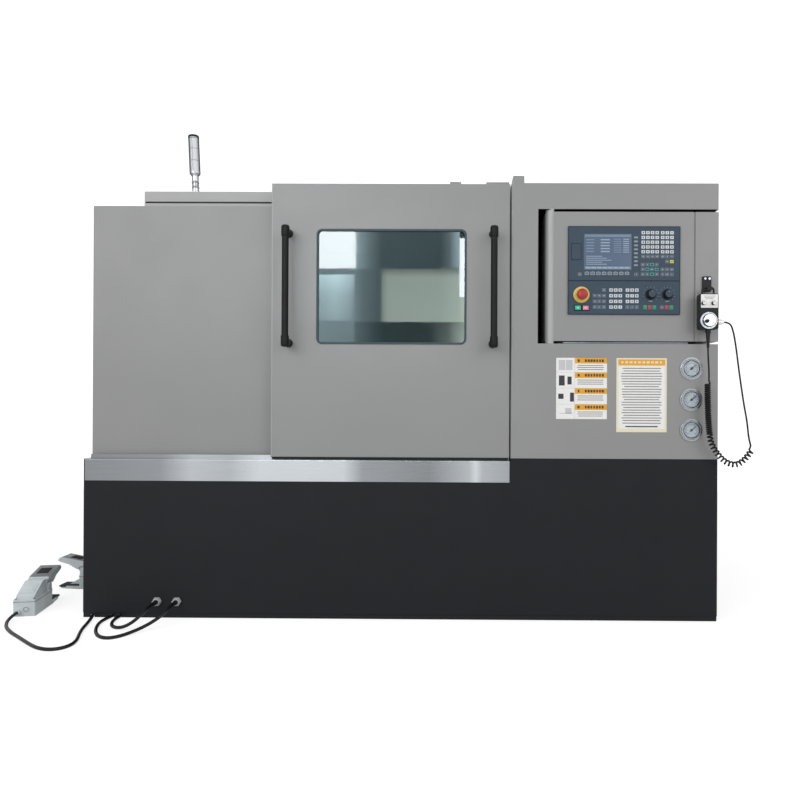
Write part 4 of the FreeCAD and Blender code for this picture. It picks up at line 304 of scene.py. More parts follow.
def make_finishes():
    """Every finish by its key: those of the frame's material slots, and those of the trim."""
    made = {
        "body_paint": enamel("body_enamel", srgb(148, 148, 148)),
        "rail_paint": enamel("rail_enamel", srgb(171, 171, 171)),
        "stainless": rolled_stainless(),
        "cast_bed": cast("bed_casting_paint", srgb(118, 124, 126)),
        "turret_paint": cast("turret_casting_paint", srgb(150, 156, 156), 0.5),
        "motor_paint": cast("motor_paint", srgb(46, 52, 58), 0.5),
        "gauge_steel": machined("polished_bezel", srgb(158, 163, 168), 0.2),
        "bright_metal": machined("turned_aluminium", srgb(198, 202, 208), 0.26),
        "socket_metal": machined("plated_connector", srgb(206, 206, 204), 0.25),
        "handle_black": moulded("handle_grip_black", srgb(15, 15, 16), 0.42, shine=0.17),
        "black_plastic": moulded("control_black", srgb(17, 18, 21), 0.42, shine=0.25),
        "panel_blue": moulded("panel_slate_blue", srgb(64, 80, 95), 0.45, 0.02, 0.2),
        "estop_yellow": moulded("collar_yellow", srgb(232, 204, 92), 0.4, 0.01),
        "estop_red": moulded("mushroom_red", srgb(176, 38, 46), 0.35, 0.01),
        "button_green": moulded("start_green", srgb(12, 202, 146), 0.35, 0.01),
        "button_red": moulded("stop_red", srgb(238, 142, 162), 0.35, 0.01),
        "pedal_grey": cast("switch_casting_grey", srgb(206, 215, 218), 0.42),
        "rubber_black": moulded("rubber_black", srgb(22, 23, 24), 0.62, 0.08, 0.25),
        "cord_black": moulded("cord_jacket", srgb(15, 15, 17), 0.4, 0.03, 0.25),
        "key_grey": moulded("key_grey", srgb(96, 106, 118), 0.45, 0.01),
        "dial_white": printed("dial_white", srgb(180, 191, 201), 0.3),
        "seal_grey": moulded("pane_seal", srgb(66, 80, 88), 0.5, 0.05, 0.25),
        "tread_rubber": moulded("tread_rubber", srgb(22, 23, 24), 0.8, 0.3),
        "tread_grey": cast("tread_grey", srgb(112, 117, 119), 0.5),
        "panel_edge": moulded("panel_edge", srgb(24, 34, 44), 0.5, 0.02, 0.2),
        "sill_steel": machined("sill_steel", srgb(101, 108, 116), 0.35),
        "bezel_shadow": machined("bezel_shadow", srgb(84, 88, 94), 0.3),
        "lamp_dark": moulded("lamp_dark", srgb(24, 26, 30), 0.3, 0.01, 0.25),
        "gland_metal": cast("gland_plating", srgb(188, 188, 192), 0.3),
        # Near-black painted shade for the walls inside the control box's recess.
        "recess_black": moulded("recess_black", srgb(5, 7, 9), 0.7, shine=0.1),
        "lamp_seam": moulded("lamp_seam", srgb(150, 154, 160), 0.3, 0.01),
    }
    made.update({name: printed(name, srgb(*tone)) for name, tone in INKS.items()})
    made.update({name: printed(name, srgb(*tone), 0.15) for name, tone in DISPLAY_TONES.items()})
    made.update({name: moulded(name, srgb(*tone), 0.4, 0.01) for name, tone in CAP_TONES.items()})
    ground = Finish("ground_steel", srgb(176, 178, 178), 0.4, 0.75)
    made["ground_steel"] = ground.mottled(6.0, 0.04).patchy(9.0, 0.37, 0.44).grained(1400.0, 0.005).material
    base = Finish("base_enamel", srgb(26, 28, 32), 0.55, Specular_IOR_Level=0.18)
    made["base_paint"] = (base.mottled(2.0, 0.05).patchy(8.0, 0.48, 0.62).grained(650.0, 0.1)
                          .grained(1.6, 0.6).material)
    # The lens and its post get painted dark rims: painted reflection of dark surroundings where they are seen
    # edge on.
    lens = Finish("clear_lens", srgb(226, 230, 234), 0.2, Specular_IOR_Level=0.25)
    made["lamp_clear"] = (lens.painted_dark_rim(srgb(234, 238, 242), srgb(20, 22, 28)).patchy(30.0, 0.06, 0.14)
                          .grained(60.0, 0.2, (1.0, 1.0, 0.2)).material)
    post = Finish("plated_post", srgb(214, 216, 218), 0.15, 0.4)
    made["lamp_metal"] = (post.painted_dark_rim(srgb(222, 224, 228), srgb(30, 34, 40), 0.14, 0.55)
                          .patchy(40.0, 0.1, 0.2).grained(90.0, 0.4).material)
    # Painted highlight for the control box's rounded left edge, brightest in its middle.
    corner = Finish("corner_enamel", srgb(200, 200, 200), 0.42, Coat_Weight=0.08, Coat_Roughness=0.3)
    made["corner_paint"] = corner.painted_light_along_x(CORNER_HIGHLIGHT_TONES).patchy(9.0, 0.37, 0.49).grained(900.0, 0.05).material
    pane = Finish("laminated_pane", srgb(52, 72, 76), 0.03, Transmission_Weight=0.45, IOR=1.5)
    made["glass_clear"] = pane.mottled(9.0, 0.12).patchy(6.0, 0.0, 0.05).grained(3.0, 0.1).material
    face = Finish("display_glass", srgb(84, 104, 128), 0.12, Coat_Weight=0.6, Coat_Roughness=0.05)
    made["screen_glass"] = face.mottled(20.0, 0.05).grained(4.0, 0.05).material
    cover = Finish("gauge_glass", (0.97, 0.98, 0.98, 1.0), 0.02, Transmission_Weight=1.0, IOR=1.3)
    made["gauge_glass"] = cover.patchy(30.0, 0.0, 0.04).material
    return made


finishes = make_finishes()


def dress_frame():
    """Each CAD node takes the finish of its material slot."""
    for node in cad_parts.values():
        mesh = node.data
        slot = mesh.materials[0].name.split(".")[0]
        for index in range(len(mesh.materials)):
            mesh.materials[index] = finishes[slot]
    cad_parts["window_seal"].data.materials[0] = finishes["seal_grey"]


# ---------------------------------------------------------------- pieces
def settle(name, mesh, body, slot, *materials):
    """A finished mesh as a piece that rides on a body, with the materials that it is given; the slot is not
    used.
    """
    piece = put(name, mesh)
    for material in materials:
        mesh.materials.append(material)
    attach(piece, body)
    return piece


def add_block(bm, low, high, index=0, taper=0.0):
    """A block between two corners; its face towards -Y is drawn in by a taper."""
    x0, y0, z0 = low
    x1, y1, z1 = high
    t = taper
    front = [(x0 + t, y0, z0 + t), (x1 - t, y0, z0 + t), (x1 - t, y0, z1 - t), (x0 + t, y0, z1 - t)]
    back = [(x0, y1, z0), (x1, y1, z0), (x1, y1, z1), (x0, y1, z1)]
    near = [bm.verts.new(p) for p in front]
    far = [bm.verts.new(p) for p in back]
    faces = [near, far[::-1]]
    for k in range(4):
        n = (k + 1) % 4
        faces.append([near[k], far[k], far[n], near[n]])
    for corners in faces:
        bm.faces.new(corners).material_index = index


def block_mesh(name, blocks):
    """Plain blocks as one mesh."""
    bm = bmesh.new()
    for block in blocks:
        add_block(bm, *block)
    return mesh_of(bm, name)


def fields_plate(name, body, slot, corner, thick, fields, materials):
    """A plate that faces the operator: fields are (right, down, width, height, layer, material index)."""
    blocks = []
    x0, y, z1 = corner
    for right, down, width, height, layer, index in fields:
        face = y - thick - layer * 0.15 * MM
        low = (x0 + right * MM, face, z1 - (down + height) * MM)
        high = (x0 + (right + width) * MM, y, z1 - down * MM)
        blocks.append((low, high, index, min(0.2 * MM, width * MM / 4, height * MM / 4)))
    return settle(name, block_mesh(name, blocks), body, slot, *[finishes[m] for m in materials])


def mesh_of(bm, name, smooth_under=None):
    """A mesh from its draft, smooth where faces meet under an angle in degrees."""
    mesh = bpy.data.meshes.new(name)
    bm.to_mesh(mesh)
    bm.free()
    if smooth_under is not None:
        mesh.shade_smooth()
        mesh.set_sharp_from_angle(angle=math.radians(smooth_under))
    return mesh


def add_rounded(bm, low, high, radius):
    """A block between two corners, in metres, with rounded edges."""
    made = bmesh.ops.create_cube(bm, size=1.0)["verts"]
    for vert in made:
        vert.co = Vector([low[k] + (vert.co[k] + 0.5) * (high[k] - low[k]) for k in range(3)])
    edges = list({edge for vert in made for edge in vert.link_edges})
    bmesh.ops.bevel(bm, geom=edges, offset=radius, segments=2, profile=0.5, affect="EDGES")


def rounded(name, body, slot, blocks, material, radius=1.0, turn=None):
    """Blocks of (low, high) in millimetres, with rounded edges, as one piece, laid by a matrix."""
    bm = bmesh.new()
    for low, high in blocks:
        add_rounded(bm, mm(*low), mm(*high), radius * MM)
    if turn is not None:
        bmesh.ops.transform(bm, matrix=turn, verts=bm.verts[:])
    return settle(name, mesh_of(bm, name, 30), body, slot, finishes[material])


def add_lathe(bm, profile, place, turn, sides):
    """A profile of (radius, height) in millimetres, turned about +Z, then laid by a turn at a place."""
    laid = Matrix.Translation(place) @ Euler(turn).to_matrix().to_4x4()
    rings = []
    steps = [2 * math.pi * k / sides for k in range(sides)]
    for radius, height in profile:
        spots = [(radius * math.cos(step), radius * math.sin(step), height) for step in steps]
        rings.append([bm.verts.new(laid @ mm(*spot)) for spot in (spots if radius else spots[:1])])
    for low, high in zip(rings, rings[1:]):
        for k in range(sides if len(low) + len(high) > 2 else 0):
            n = (k + 1) % sides
            around = [low[k % len(low)], low[n % len(low)], high[n % len(high)], high[k % len(high)]]
            bm.faces.new(list(dict.fromkeys(around)))


def turned(name, body, slot, profile, places, turn, material, sides=48):
    """The same turned form at each place."""
    bm = bmesh.new()
    for place in places:
        add_lathe(bm, profile, place, turn, sides)
    bmesh.ops.recalc_face_normals(bm, faces=bm.faces[:])
    return settle(name, mesh_of(bm, name, 35), body, slot, finishes[material])


# ---------------------------------------------------------------- trees that grow what repeats
def new_tree(name, sizes):
    """An empty geometry tree with named inputs: name to (socket type, value)."""
    tree = bpy.data.node_groups.new(name, "GeometryNodeTree")
    tree.interface.new_socket("Places", in_out="INPUT", socket_type="NodeSocketGeometry")
    for key, (kind, value) in sizes.items():
        socket = tree.interface.new_socket(key, in_out="INPUT", socket_type=kind)
        if value is not None:
            socket.default_value = value
    tree.interface.new_socket("Material", in_out="INPUT", socket_type="NodeSocketMaterial")
    tree.interface.new_socket("Result", in_out="OUTPUT", socket_type="NodeSocketGeometry")
    entry = tree.nodes.new("NodeGroupInput")
    return tree, entry.outputs


def end_tree(tree, entry, geometry):
    """Closes a tree with real geometry in the material that it was given."""
    solid = add_node(tree, "GeometryNodeRealizeInstances", {"Geometry": geometry})
    dressed = add_node(tree, "GeometryNodeSetMaterial",
                       {"Geometry": solid.outputs[0], "Material": entry["Material"]})
    leave = tree.nodes.new("NodeGroupOutput")
    tree.links.new(dressed.outputs[0], leave.inputs[0])
    return tree


def math_node(tree, operation, a, b=0.0):
    """The result of one sum."""
    return add_node(tree, "ShaderNodeMath", {0: a, 1: b}, operation=operation).outputs[0]


def vector_of(tree, x=0.0, y=0.0, z=0.0):
    """Three values as one vector."""
    return add_node(tree, "ShaderNodeCombineXYZ", {0: x, 1: y, 2: z}).outputs[0]


def stand_at_places(tree, entry, piece, scale=None):
    """A piece at each of the tree's places, turned as the tree's Turn says."""
    links = {"Points": entry["Places"], "Instance": piece,
             "Rotation": add_node(tree, "FunctionNodeEulerToRotation", {0: entry["Turn"]}).outputs[0]}
    if scale is not None:
        links["Scale"] = scale
    return add_node(tree, "GeometryNodeInstanceOnPoints", links).outputs[0]


FLOAT, WHOLE, VECTOR = "NodeSocketFloat", "NodeSocketInt", "NodeSocketVector"


def screw_tree():
    """Socket-head screws: a chamfered head with a hexagonal recess."""
    tree, entry = new_tree("screw_heads", {"Head Radius": (FLOAT, 0.005), "Head Height": (FLOAT, 0.004),
                                           "Recess Radius": (FLOAT, 0.0025), "Turn": (VECTOR, None)})
    head = add_node(tree, "GeometryNodeMeshCylinder",
                    {"Vertices": 24, "Side Segments": 2, "Radius": entry["Head Radius"],
                     "Depth": entry["Head Height"]})
    chamfered = add_node(tree, "GeometryNodeScaleElements",
                         {"Geometry": head.outputs["Mesh"], "Selection": head.outputs["Top"], "Scale": 0.86})
    recess = add_node(tree, "GeometryNodeMeshCylinder",
                      {"Vertices": 6, "Radius": entry["Recess Radius"], "Depth": entry["Head Height"]})
    half = math_node(tree, "MULTIPLY", entry["Head Height"], 0.5)
    lifted = add_node(tree, "GeometryNodeTransform",
                      {"Geometry": recess.outputs["Mesh"], "Translation": vector_of(tree, z=half)})
    hollow = add_node(tree, "GeometryNodeMeshBoolean",
                      {"Mesh 1": chamfered.outputs[0], "Mesh 2": lifted.outputs[0]}, operation="DIFFERENCE")
    seated = add_node(tree, "GeometryNodeTransform",
                      {"Geometry": hollow.outputs["Mesh"], "Translation": vector_of(tree, z=half)})
    return end_tree(tree, entry, stand_at_places(tree, entry, seated.outputs[0]))


def cap_tree():
    """Key caps, bars and studs: blocks whose outer face is drawn in, some of varied length."""
    tree, entry = new_tree("key_caps", {"Width": (FLOAT, 0.013), "Height": (FLOAT, 0.011),
                                        "Rise": (FLOAT, 0.001), "Draw In": (FLOAT, 0.94),
                                        "Shortest": (FLOAT, 1.0), "Seed": (WHOLE, 3),
                                        "Turn": (VECTOR, None)})
    size = vector_of(tree, entry["Width"], entry["Height"], entry["Rise"])
    block = add_node(tree, "GeometryNodeMeshCube", {"Size": size})
    normal = add_node(tree, "GeometryNodeInputNormal").outputs[0]
    upward = add_node(tree, "ShaderNodeSeparateXYZ", {0: normal}).outputs[2]
    top = add_node(tree, "FunctionNodeCompare", {0: upward, 1: 0.5}, operation="GREATER_THAN").outputs[0]
    tapered = add_node(tree, "GeometryNodeScaleElements",
                       {"Geometry": block.outputs["Mesh"], "Selection": top, "Scale": entry["Draw In"]})
    length = add_node(tree, "FunctionNodeRandomValue",
                      {2: entry["Shortest"], 3: 1.0, "Seed": entry["Seed"]}).outputs[1]
    return end_tree(tree, entry, stand_at_places(tree, entry, tapered.outputs[0],
                                                 vector_of(tree, length, 1.0, 1.0)))


def tick_tree():
    """Marks on an arc round one centre, counted clockwise from straight up, facing the operator."""
    tree, entry = new_tree("dial_marks", {"Count": (WHOLE, 11), "First Angle": (FLOAT, 0.0),
                                          "Sweep": (FLOAT, 1.0), "Radius": (FLOAT, 0.02),
                                          "Length": (FLOAT, 0.003), "Width": (FLOAT, 0.001),
                                          "Thickness": (FLOAT, 0.0003), "Centre": (VECTOR, None)})
    index = add_node(tree, "GeometryNodeInputIndex").outputs[0]
    steps = math_node(tree, "MAXIMUM", math_node(tree, "SUBTRACT", entry["Count"], 1.0), 1.0)
    share = math_node(tree, "DIVIDE", index, steps)
    angle = math_node(tree, "ADD", entry["First Angle"], math_node(tree, "MULTIPLY", share, entry["Sweep"]))
    x = math_node(tree, "MULTIPLY", math_node(tree, "SINE", angle), entry["Radius"])
    z = math_node(tree, "MULTIPLY", math_node(tree, "COSINE", angle), entry["Radius"])
    points = add_node(tree, "GeometryNodePoints",
                      {"Count": entry["Count"], "Position": vector_of(tree, x, 0.0, z)})
    size = vector_of(tree, entry["Width"], entry["Thickness"], entry["Length"])
    mark = add_node(tree, "GeometryNodeMeshCube", {"Size": size})
    turn = add_node(tree, "FunctionNodeEulerToRotation", {0: vector_of(tree, 0.0, angle, 0.0)}).outputs[0]
    ring = add_node(tree, "GeometryNodeInstanceOnPoints",
                    {"Points": points.outputs[0], "Instance": mark.outputs["Mesh"], "Rotation": turn})
    placed = add_node(tree, "GeometryNodeTransform",
                      {"Geometry": ring.outputs[0], "Translation": entry["Centre"]})
    return end_tree(tree, entry, placed.outputs[0])


def hood_tree():
    """Louvre hoods: half-round lips pressed out of the sheet, lying along X before they are turned."""
    tree, entry = new_tree("louvre_hoods", {"Length": (FLOAT, 0.26), "Radius": (FLOAT, 0.008),
                                            "Turn": (VECTOR, None)})
    bar = add_node(tree, "GeometryNodeMeshCylinder", {"Vertices": 20, "Side Segments": 2,
                                                      "Radius": entry["Radius"], "Depth": entry["Length"]})
    laid = add_node(tree, "GeometryNodeTransform", {"Geometry": bar.outputs["Mesh"],
                                                    "Rotation": (0.0, math.radians(90), 0.0)})
    return end_tree(tree, entry, stand_at_places(tree, entry, laid.outputs[0]))


def grow(name, tree, body, slot, material, sizes, places=((0.0, 0.0, 0.0),)):
    """Runs a tree on its places and keeps the result as a plain mesh that rides on one body."""
    host = put(name + "_host", mesh_from(name + "_places", [tuple(p) for p in places]))
    modifier = host.modifiers.new("grown", "NODES")
    modifier.node_group = tree
    values = dict(sizes, Material=finishes[material])
    for item in tree.interface.items_tree:
        if item.in_out == "INPUT" and item.name in values:
            modifier[item.identifier] = values[item.name]
    mesh = baked(host)
    mesh.name = name
    return settle(name, mesh, body, slot)


screws, caps, ticks, hoods = screw_tree(), cap_tree(), tick_tree(), hood_tree()


def screw_row(name, body, places, turn, radius=5.0, height=3.0, slot="ground_steel", material=None):
    """Screws of one size, in millimetres, at each place."""
    grow(name, screws, body, slot, material or slot,
         {"Head Radius": radius * MM, "Head Height": height * MM, "Recess Radius": radius * 0.52 * MM,
          "Turn": turn}, places)


def caps_at(name, places, size, material, rise=0.8, shortest=1.0, seed=3, body="control_box",
            slot="panel_blue"):
    """Flat caps of one size, in millimetres, that face the operator at each place."""
    width, height = size
    grow(name, caps, body, slot, material,
         {"Width": width * MM, "Height": height * MM, "Rise": rise * MM, "Shortest": shortest,
          "Seed": seed, "Turn": FRONT_TURN}, places)


def marks_at(name, body, slot, material, centre, count, angles, radius, size, thick=0.3):
    """Marks on an arc that faces the operator: first angle and sweep in degrees, sizes in millimetres."""
    first, sweep = angles
    length, width = size
    grow(name, ticks, body, slot, material,
         {"Count": count, "First Angle": math.radians(first), "Sweep": math.radians(sweep),
          "Radius": radius * MM, "Length": length * MM, "Width": width * MM, "Thickness": thick * MM,
          "Centre": tuple(centre)})


# ---------------------------------------------------------------- cords
# The routes repeat the control points, in millimetres, of the part's own cords.
CORD_Y = -792.5
PENDANT_CORD_D = 6.5 * MM
PEDAL_CORD_D = 12 * MM


def evaluated_points(points, name):
    """Points read off the smooth line of a route, as Blender evaluates it."""
    mesh = baked(put(name, route_curve(name, points, 0.0)))
    return [vert.co.copy() for vert in mesh.vertices]


def route_curve(name, points, radius, steps=12):
    """A round tube along a smooth line through its control points."""
    curve = bpy.data.curves.new(name, "CURVE")
    curve.dimensions = "3D"
    curve.resolution_u = steps
    curve.bevel_depth = radius
    curve.bevel_resolution = 4
    curve.use_fill_caps = True
    spline = curve.splines.new("NURBS")
    spline.points.add(len(points) - 1)
    for spot, point in zip(spline.points, points):
        spot.co = (*point, 1.0)
    spline.order_u = 3
    spline.use_endpoint_u = True
    return curve


def cord_piece(name, points, diameter, steps=12):
    """A black cord along a route."""
    piece = put(name, route_curve(name, points, diameter / 2, steps))
    piece.data.materials.append(finishes["cord_black"])
    return piece


def line_length(line):
    """Length along a row of points."""
    return sum((b - a).length for a, b in zip(line, line[1:]))


def pedal_cords():
    """The foot switches' cords, from each case along the floor to its gland in the base."""
    r = PEDAL_CORD_D / 2 / MM
    front = [(-1433.56, -755.96, 18), (-1427.61, -793.49, 18), (-1422, -832, 9), (-1392, -882, r),
             (-1340, -935, r), (-1279, -985, r), (-1215, -1040, r), (-1165, -1078, r), (-1120, -1094, r),
             (-1084, -1083, r), (-1066, -1050, r), (-1072, -1005, r), (-1092, -955, r), (-1112, -900, r),
             (-1126, -840, r), (-1140, -785, r), (-1158, -732, r), (-1166, -690, r), (-1166, -649, r),
             (-1137, -620, r), (-1095, -620, r), (-1066, -649, r), (-1068, -700, r), (-1084, -755, r),
             (-1090, -812, r), (-1075, -870, r), (-1050, -925, r), (-1018, -968, r), (-982, -985, r),
             (-950, -968, r), (-925, -935, 8), (-897, -902, 15), (-866, -874, 30), (-840, -852, 50),
             (-833, -823, 64), (-833, -785, 64)]
    rear = [(-1236, -345, 18), (-1214, -345, 18), (-1180, -345, r), (-1148, -350, r), (-1098, -366, r),
            (-1045, -398, r), (-1012, -446, r), (-1000, -505, r), (-1004, -565, r), (-1018, -625, r),
            (-1036, -685, r), (-1052, -745, r), (-1050, -800, r), (-1032, -850, r), (-1003, -878, r),
            (-970, -885, 11), (-940, -876, 27), (-918, -855, 49), (-907, -823, 64), (-907, -785, 64)]
    for node, route in (("front_pedal_cord", front), ("rear_pedal_cord", rear)):
        points = [mm(*p) for p in route]
        length = line_length(evaluated_points(points, node + "_line"))
        piece = cord_piece(node + "_jacket", points, PEDAL_CORD_D)
        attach(piece, "root")
        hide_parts(node)


COIL_PATH = ((1133, 888), (1134, 699), (1166, 632), (1208, 592), (1262, 592), (1295, 645))     # x and z
COIL_DIAMETER = 24.0 * MM
TIGHT_PITCH = 7.8 * MM
TIGHT_TURNS = 24
LOOSE_TURNS = 17
SPOTS_PER_TURN = 14


def curl_points(line):
    """The helix of a curly cord round a line: tight turns first, then turns drawn apart."""
    radius = (COIL_DIAMETER - PENDANT_CORD_D) / 2 / math.cos(math.pi / SPOTS_PER_TURN) ** 0.5
    ways = [0.0]
    for a, b in zip(line, line[1:]):
        ways.append(ways[-1] + (b - a).length)
    tight = TIGHT_TURNS * TIGHT_PITCH
    loose = ways[-1] - tight
    out = Vector((0, -1, 0))
    spots = []
    k = 0
    for step in range((TIGHT_TURNS + LOOSE_TURNS) * SPOTS_PER_TURN + 1):
        count = step / SPOTS_PER_TURN
        way = min(count, TIGHT_TURNS) * TIGHT_PITCH + max(count - TIGHT_TURNS, 0) * loose / LOOSE_TURNS
        while k < len(ways) - 2 and ways[k + 1] < way:
            k += 1
        share = (way - ways[k]) / (ways[k + 1] - ways[k])
        centre = line[k].lerp(line[k + 1], share)
        side = (line[k + 1] - line[k]).normalized().cross(out)
        angle = 2 * math.pi * count
        spots.append(centre + (side * -math.cos(angle) + out * math.sin(angle)) * radius)
    return spots


def pendant_cord():
    """The pendant's cord: a straight lead, the curls and a tail up to its socket, as one line."""
    line = evaluated_points([mm(x, CORD_Y, z) for x, z in COIL_PATH], "coil_line")
    curls = curl_points(line)
    lead = [(1134, CORD_Y, 1020), (1134.5, -793, 985), (1142, -782.1, 936), (1141.7, -782.5, 906),
            (1141.7, -782.5, 899.5)]
    tail = [(1287.5, -802, 660), (1285.9, -802.3, 668), (1279, -802.3, 695), (1284, -780, 748),
            (1276, -770, 812), (1271, -758, 880), (1268, -745, 940), (1267, -730, 1000), (1266, -716, 1050),
            (1263, -706, 1090), (1253, -700, 1125.4), (1227, -700, 1125.4)]
    points = [mm(*p) for p in lead] + curls + [mm(*p) for p in tail]
    piece = cord_piece("pendant_curly_cord", points, PENDANT_CORD_D, 4)
    piece.data.bevel_resolution = 2
    length = line_length(evaluated_points(points, "pendant_line"))
    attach(piece, "control_box")
    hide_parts("pendant_cord_lead", "pendant_cord_coil", "pendant_cord_tail")


# ---------------------------------------------------------------- door
DOOR_Y = door_low.y
GRIP_HALF = 14 * MM             # a handle's bracket is this much wider than its middle line
BRACKET_IN = 18 * MM            # middle of a bracket from the end of its grip


def door_handles():
    """Tubular grips with moulded ends, each end on a bracket that runs back to the door."""
    length = (handles_high.z - handles_low.z) / MM
    half = [(0, 0), (8, 0), (12.5, 2), (14.5, 6), (15, 10), (15, 38), (14, 41), (12.6, 42.5), (12.4, 46)]
    grip = half + [(radius, length - height) for radius, height in half[::-1]]
    bracket = [(0, 0), (16, 0), (16, 3), (13.5, 5), (13, 44), (13, 58), (0, 60)]
    bar_y = handles_low.y + GRIP_HALF
    bm = bmesh.new()
    for x in (handles_low.x + GRIP_HALF, handles_high.x - GRIP_HALF):
        add_lathe(bm, grip, (x, bar_y, handles_low.z), UP_TURN, 32)
        for z in (handles_low.z + BRACKET_IN, handles_high.z - BRACKET_IN):
            add_lathe(bm, bracket, (x, DOOR_Y, z), FRONT_TURN, 32)
    bmesh.ops.recalc_face_normals(bm, faces=bm.faces[:])
    piece = settle("moulded_door_grips", mesh_of(bm, "moulded_door_grips", 35), "door", "handle_black",
                   finishes["handle_black"])
    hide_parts("door_handles")


def door_trim():
    """The folded edge along the door's left side, in lighter paint as a painted highlight, and a dark lip
    under the door as painted shade.
    """
    x0, z0, z1 = door_low.x / MM, door_low.z / MM, door_high.z / MM
    x1, y = door_high.x / MM, DOOR_Y / MM
    # Painted highlight: the fold takes the lighter rail enamel down the door's left edge.
    rounded("door_edge_fold", "door", "rail_paint", [((x0 + 1, y - 1.0, z0 + 2), (x0 + 6, y + 1.0, z1 - 24))],
            "rail_paint", 0.8)
    # Painted shade: a dark lip where shade falls under the door's lower edge.
    rounded("door_wiper_lip", "door", "rubber_black",
            [((x0 + 4, y + 2.5, z0 - 8.2), (x1 - 4, y + 6.5, z0 + 3))], "rubber_black", 0.8)


# ---------------------------------------------------------------- cabinet
SHEET_Y = cabinet_low.y             # the cabinet's face
RECESS_MM = ((514.5, 1190.0), (-750.0, -500.0), (1037.0, 1541.0))      # the control box's recess
SILL_X = (609.0, 1076.0)
SILL_DEPTH, SILL_RISE = (1.0, 46.0), (0.4, 6.4)         # from the recess's lower front edge
GAUGE_X = 1087.3
GAUGE_Z = (945.8, 829.5, 715.9)
DIAL_DEPTH = 6.0                    # dial ahead of the cabinet's face
DIAL_ANGLES = (-135.0, 270.0)       # first mark of a dial and sweep of its scale, in degrees from the top
NEEDLE_TURN = 40.0
GLANDS = (-833.0, -907.0)
GLAND_Z = 64.0


def recess_liner():
    """Near-black sheets on the walls of the control box's recess, as painted shade inside it."""
    (x0, x1), (y0, y1), (z0, z1) = RECESS_MM
    skin = 0.5
    # Painted shade: near-black sheets where shade falls inside the recess.
    rounded("recess_liner", "root", "rubber_black",
            [((x0, y0 + 3, z0), (x0 + skin, y1, z1)), ((x0, y1 - skin, z0), (x1 - 4, y1, z1)),
             ((x0, y0 + 3, z1 - skin), (x1 - 4, y1, z1)), ((x0, y0 + 3, z0), (x1 - 4, y1, z0 + skin))],
            "recess_black", 0.1)


def recess_sill():
    """A steel strip along the recess's lower edge, under the control box."""
    y, z = SHEET_Y / MM, RECESS_MM[2][0]
    low, high = zip(SILL_X, (y + deep for deep in SILL_DEPTH), (z + rise for rise in SILL_RISE))
    rounded("recess_sill", "root", "ground_steel", [(low, high)], "sill_steel", 0.6)


SKIRT_BACK = 3.0                # kick strip behind the base's faces
SKIRT_FOOT = 1.5                # kick strip over the floor
SKIRT_THICK = 2.5
FRONT_GATES = ((-1159.0, -1145.0), (-1085.0, -1073.0), (-1055.0, -1043.0))      # holes for the pedal cords
SIDE_GATE = (-353.0, -337.0)
GATE_TOP = 12.1


def base_skirt():
    """A dark kick strip in the gap under the base, as painted shade there, with holes where the pedal cords
    pass.
    """
    x0, x1 = base_low.x / MM + SKIRT_BACK, base_high.x / MM - SKIRT_BACK
    y0, y1 = base_low.y / MM + SKIRT_BACK, base_high.y / MM - SKIRT_BACK
    foot, top, t = SKIRT_FOOT, base_low.z / MM + 1.0, SKIRT_THICK
    blocks = [((x0, y0, GATE_TOP), (x1, y0 + t, top)), ((x1 - t, y0 + t, foot), (x1, y1, top)),
              ((x0, y1 - t, foot), (x1 - t, y1, top)), ((x0, y0 + t, foot), (x0 + t, SIDE_GATE[0], top)),
              ((x0, SIDE_GATE[1], foot), (x0 + t, y1 - t, top))]
    stops = [x0] + [x for gate in FRONT_GATES for x in gate] + [x1]
    blocks += [((a, y0, foot), (b, y0 + t, GATE_TOP + 0.5)) for a, b in zip(stops[::2], stops[1::2])]
    # Painted shade: the dark strip fills the gap where shade falls under the base.
    rounded("base_skirt", "root", "base_paint", blocks, "base_paint", 0.4)


CORNER_X, CORNER_R = 574.5, 30.0        # middle line and radius of the control box's left edge
CORNER_Y = -720.0


def box_corner():
    """A folded profile over the control box's rounded left edge, painted with a highlight that is brightest
    in its middle.
    """
    steps, first, sweep = 12, 2, 70         # angles in degrees from the box's front
    verts, faces = [], []
    for k in range(steps + 1):
        angle = math.radians(first + sweep * k / steps)
        for radius in (CORNER_R - 0.6, CORNER_R + 0.5):
            x = CORNER_X - radius * math.sin(angle)
            y = CORNER_Y - radius * math.cos(angle)
            verts += [mm(x, y, z) for z in (control_low.z / MM + 1, control_high.z / MM - 1)]
    for k in range(steps):
        a, b = 4 * k, 4 * k + 4
        faces += [(a + 2, a + 3, b + 3, b + 2), (a, b, b + 1, a + 1), (a, a + 2, b + 2, b),
                  (a + 1, b + 1, b + 3, a + 3)]
    faces += [(0, 1, 3, 2), (4 * steps, 4 * steps + 2, 4 * steps + 3, 4 * steps + 1)]
    mesh = mesh_from("box_corner", verts, faces)
    mesh.shade_smooth()
    mesh.set_sharp_from_angle(angle=math.radians(40))
    # The skin carries the painted highlight.
    settle("box_corner", mesh, "control_box", "body_paint", finishes["corner_paint"])


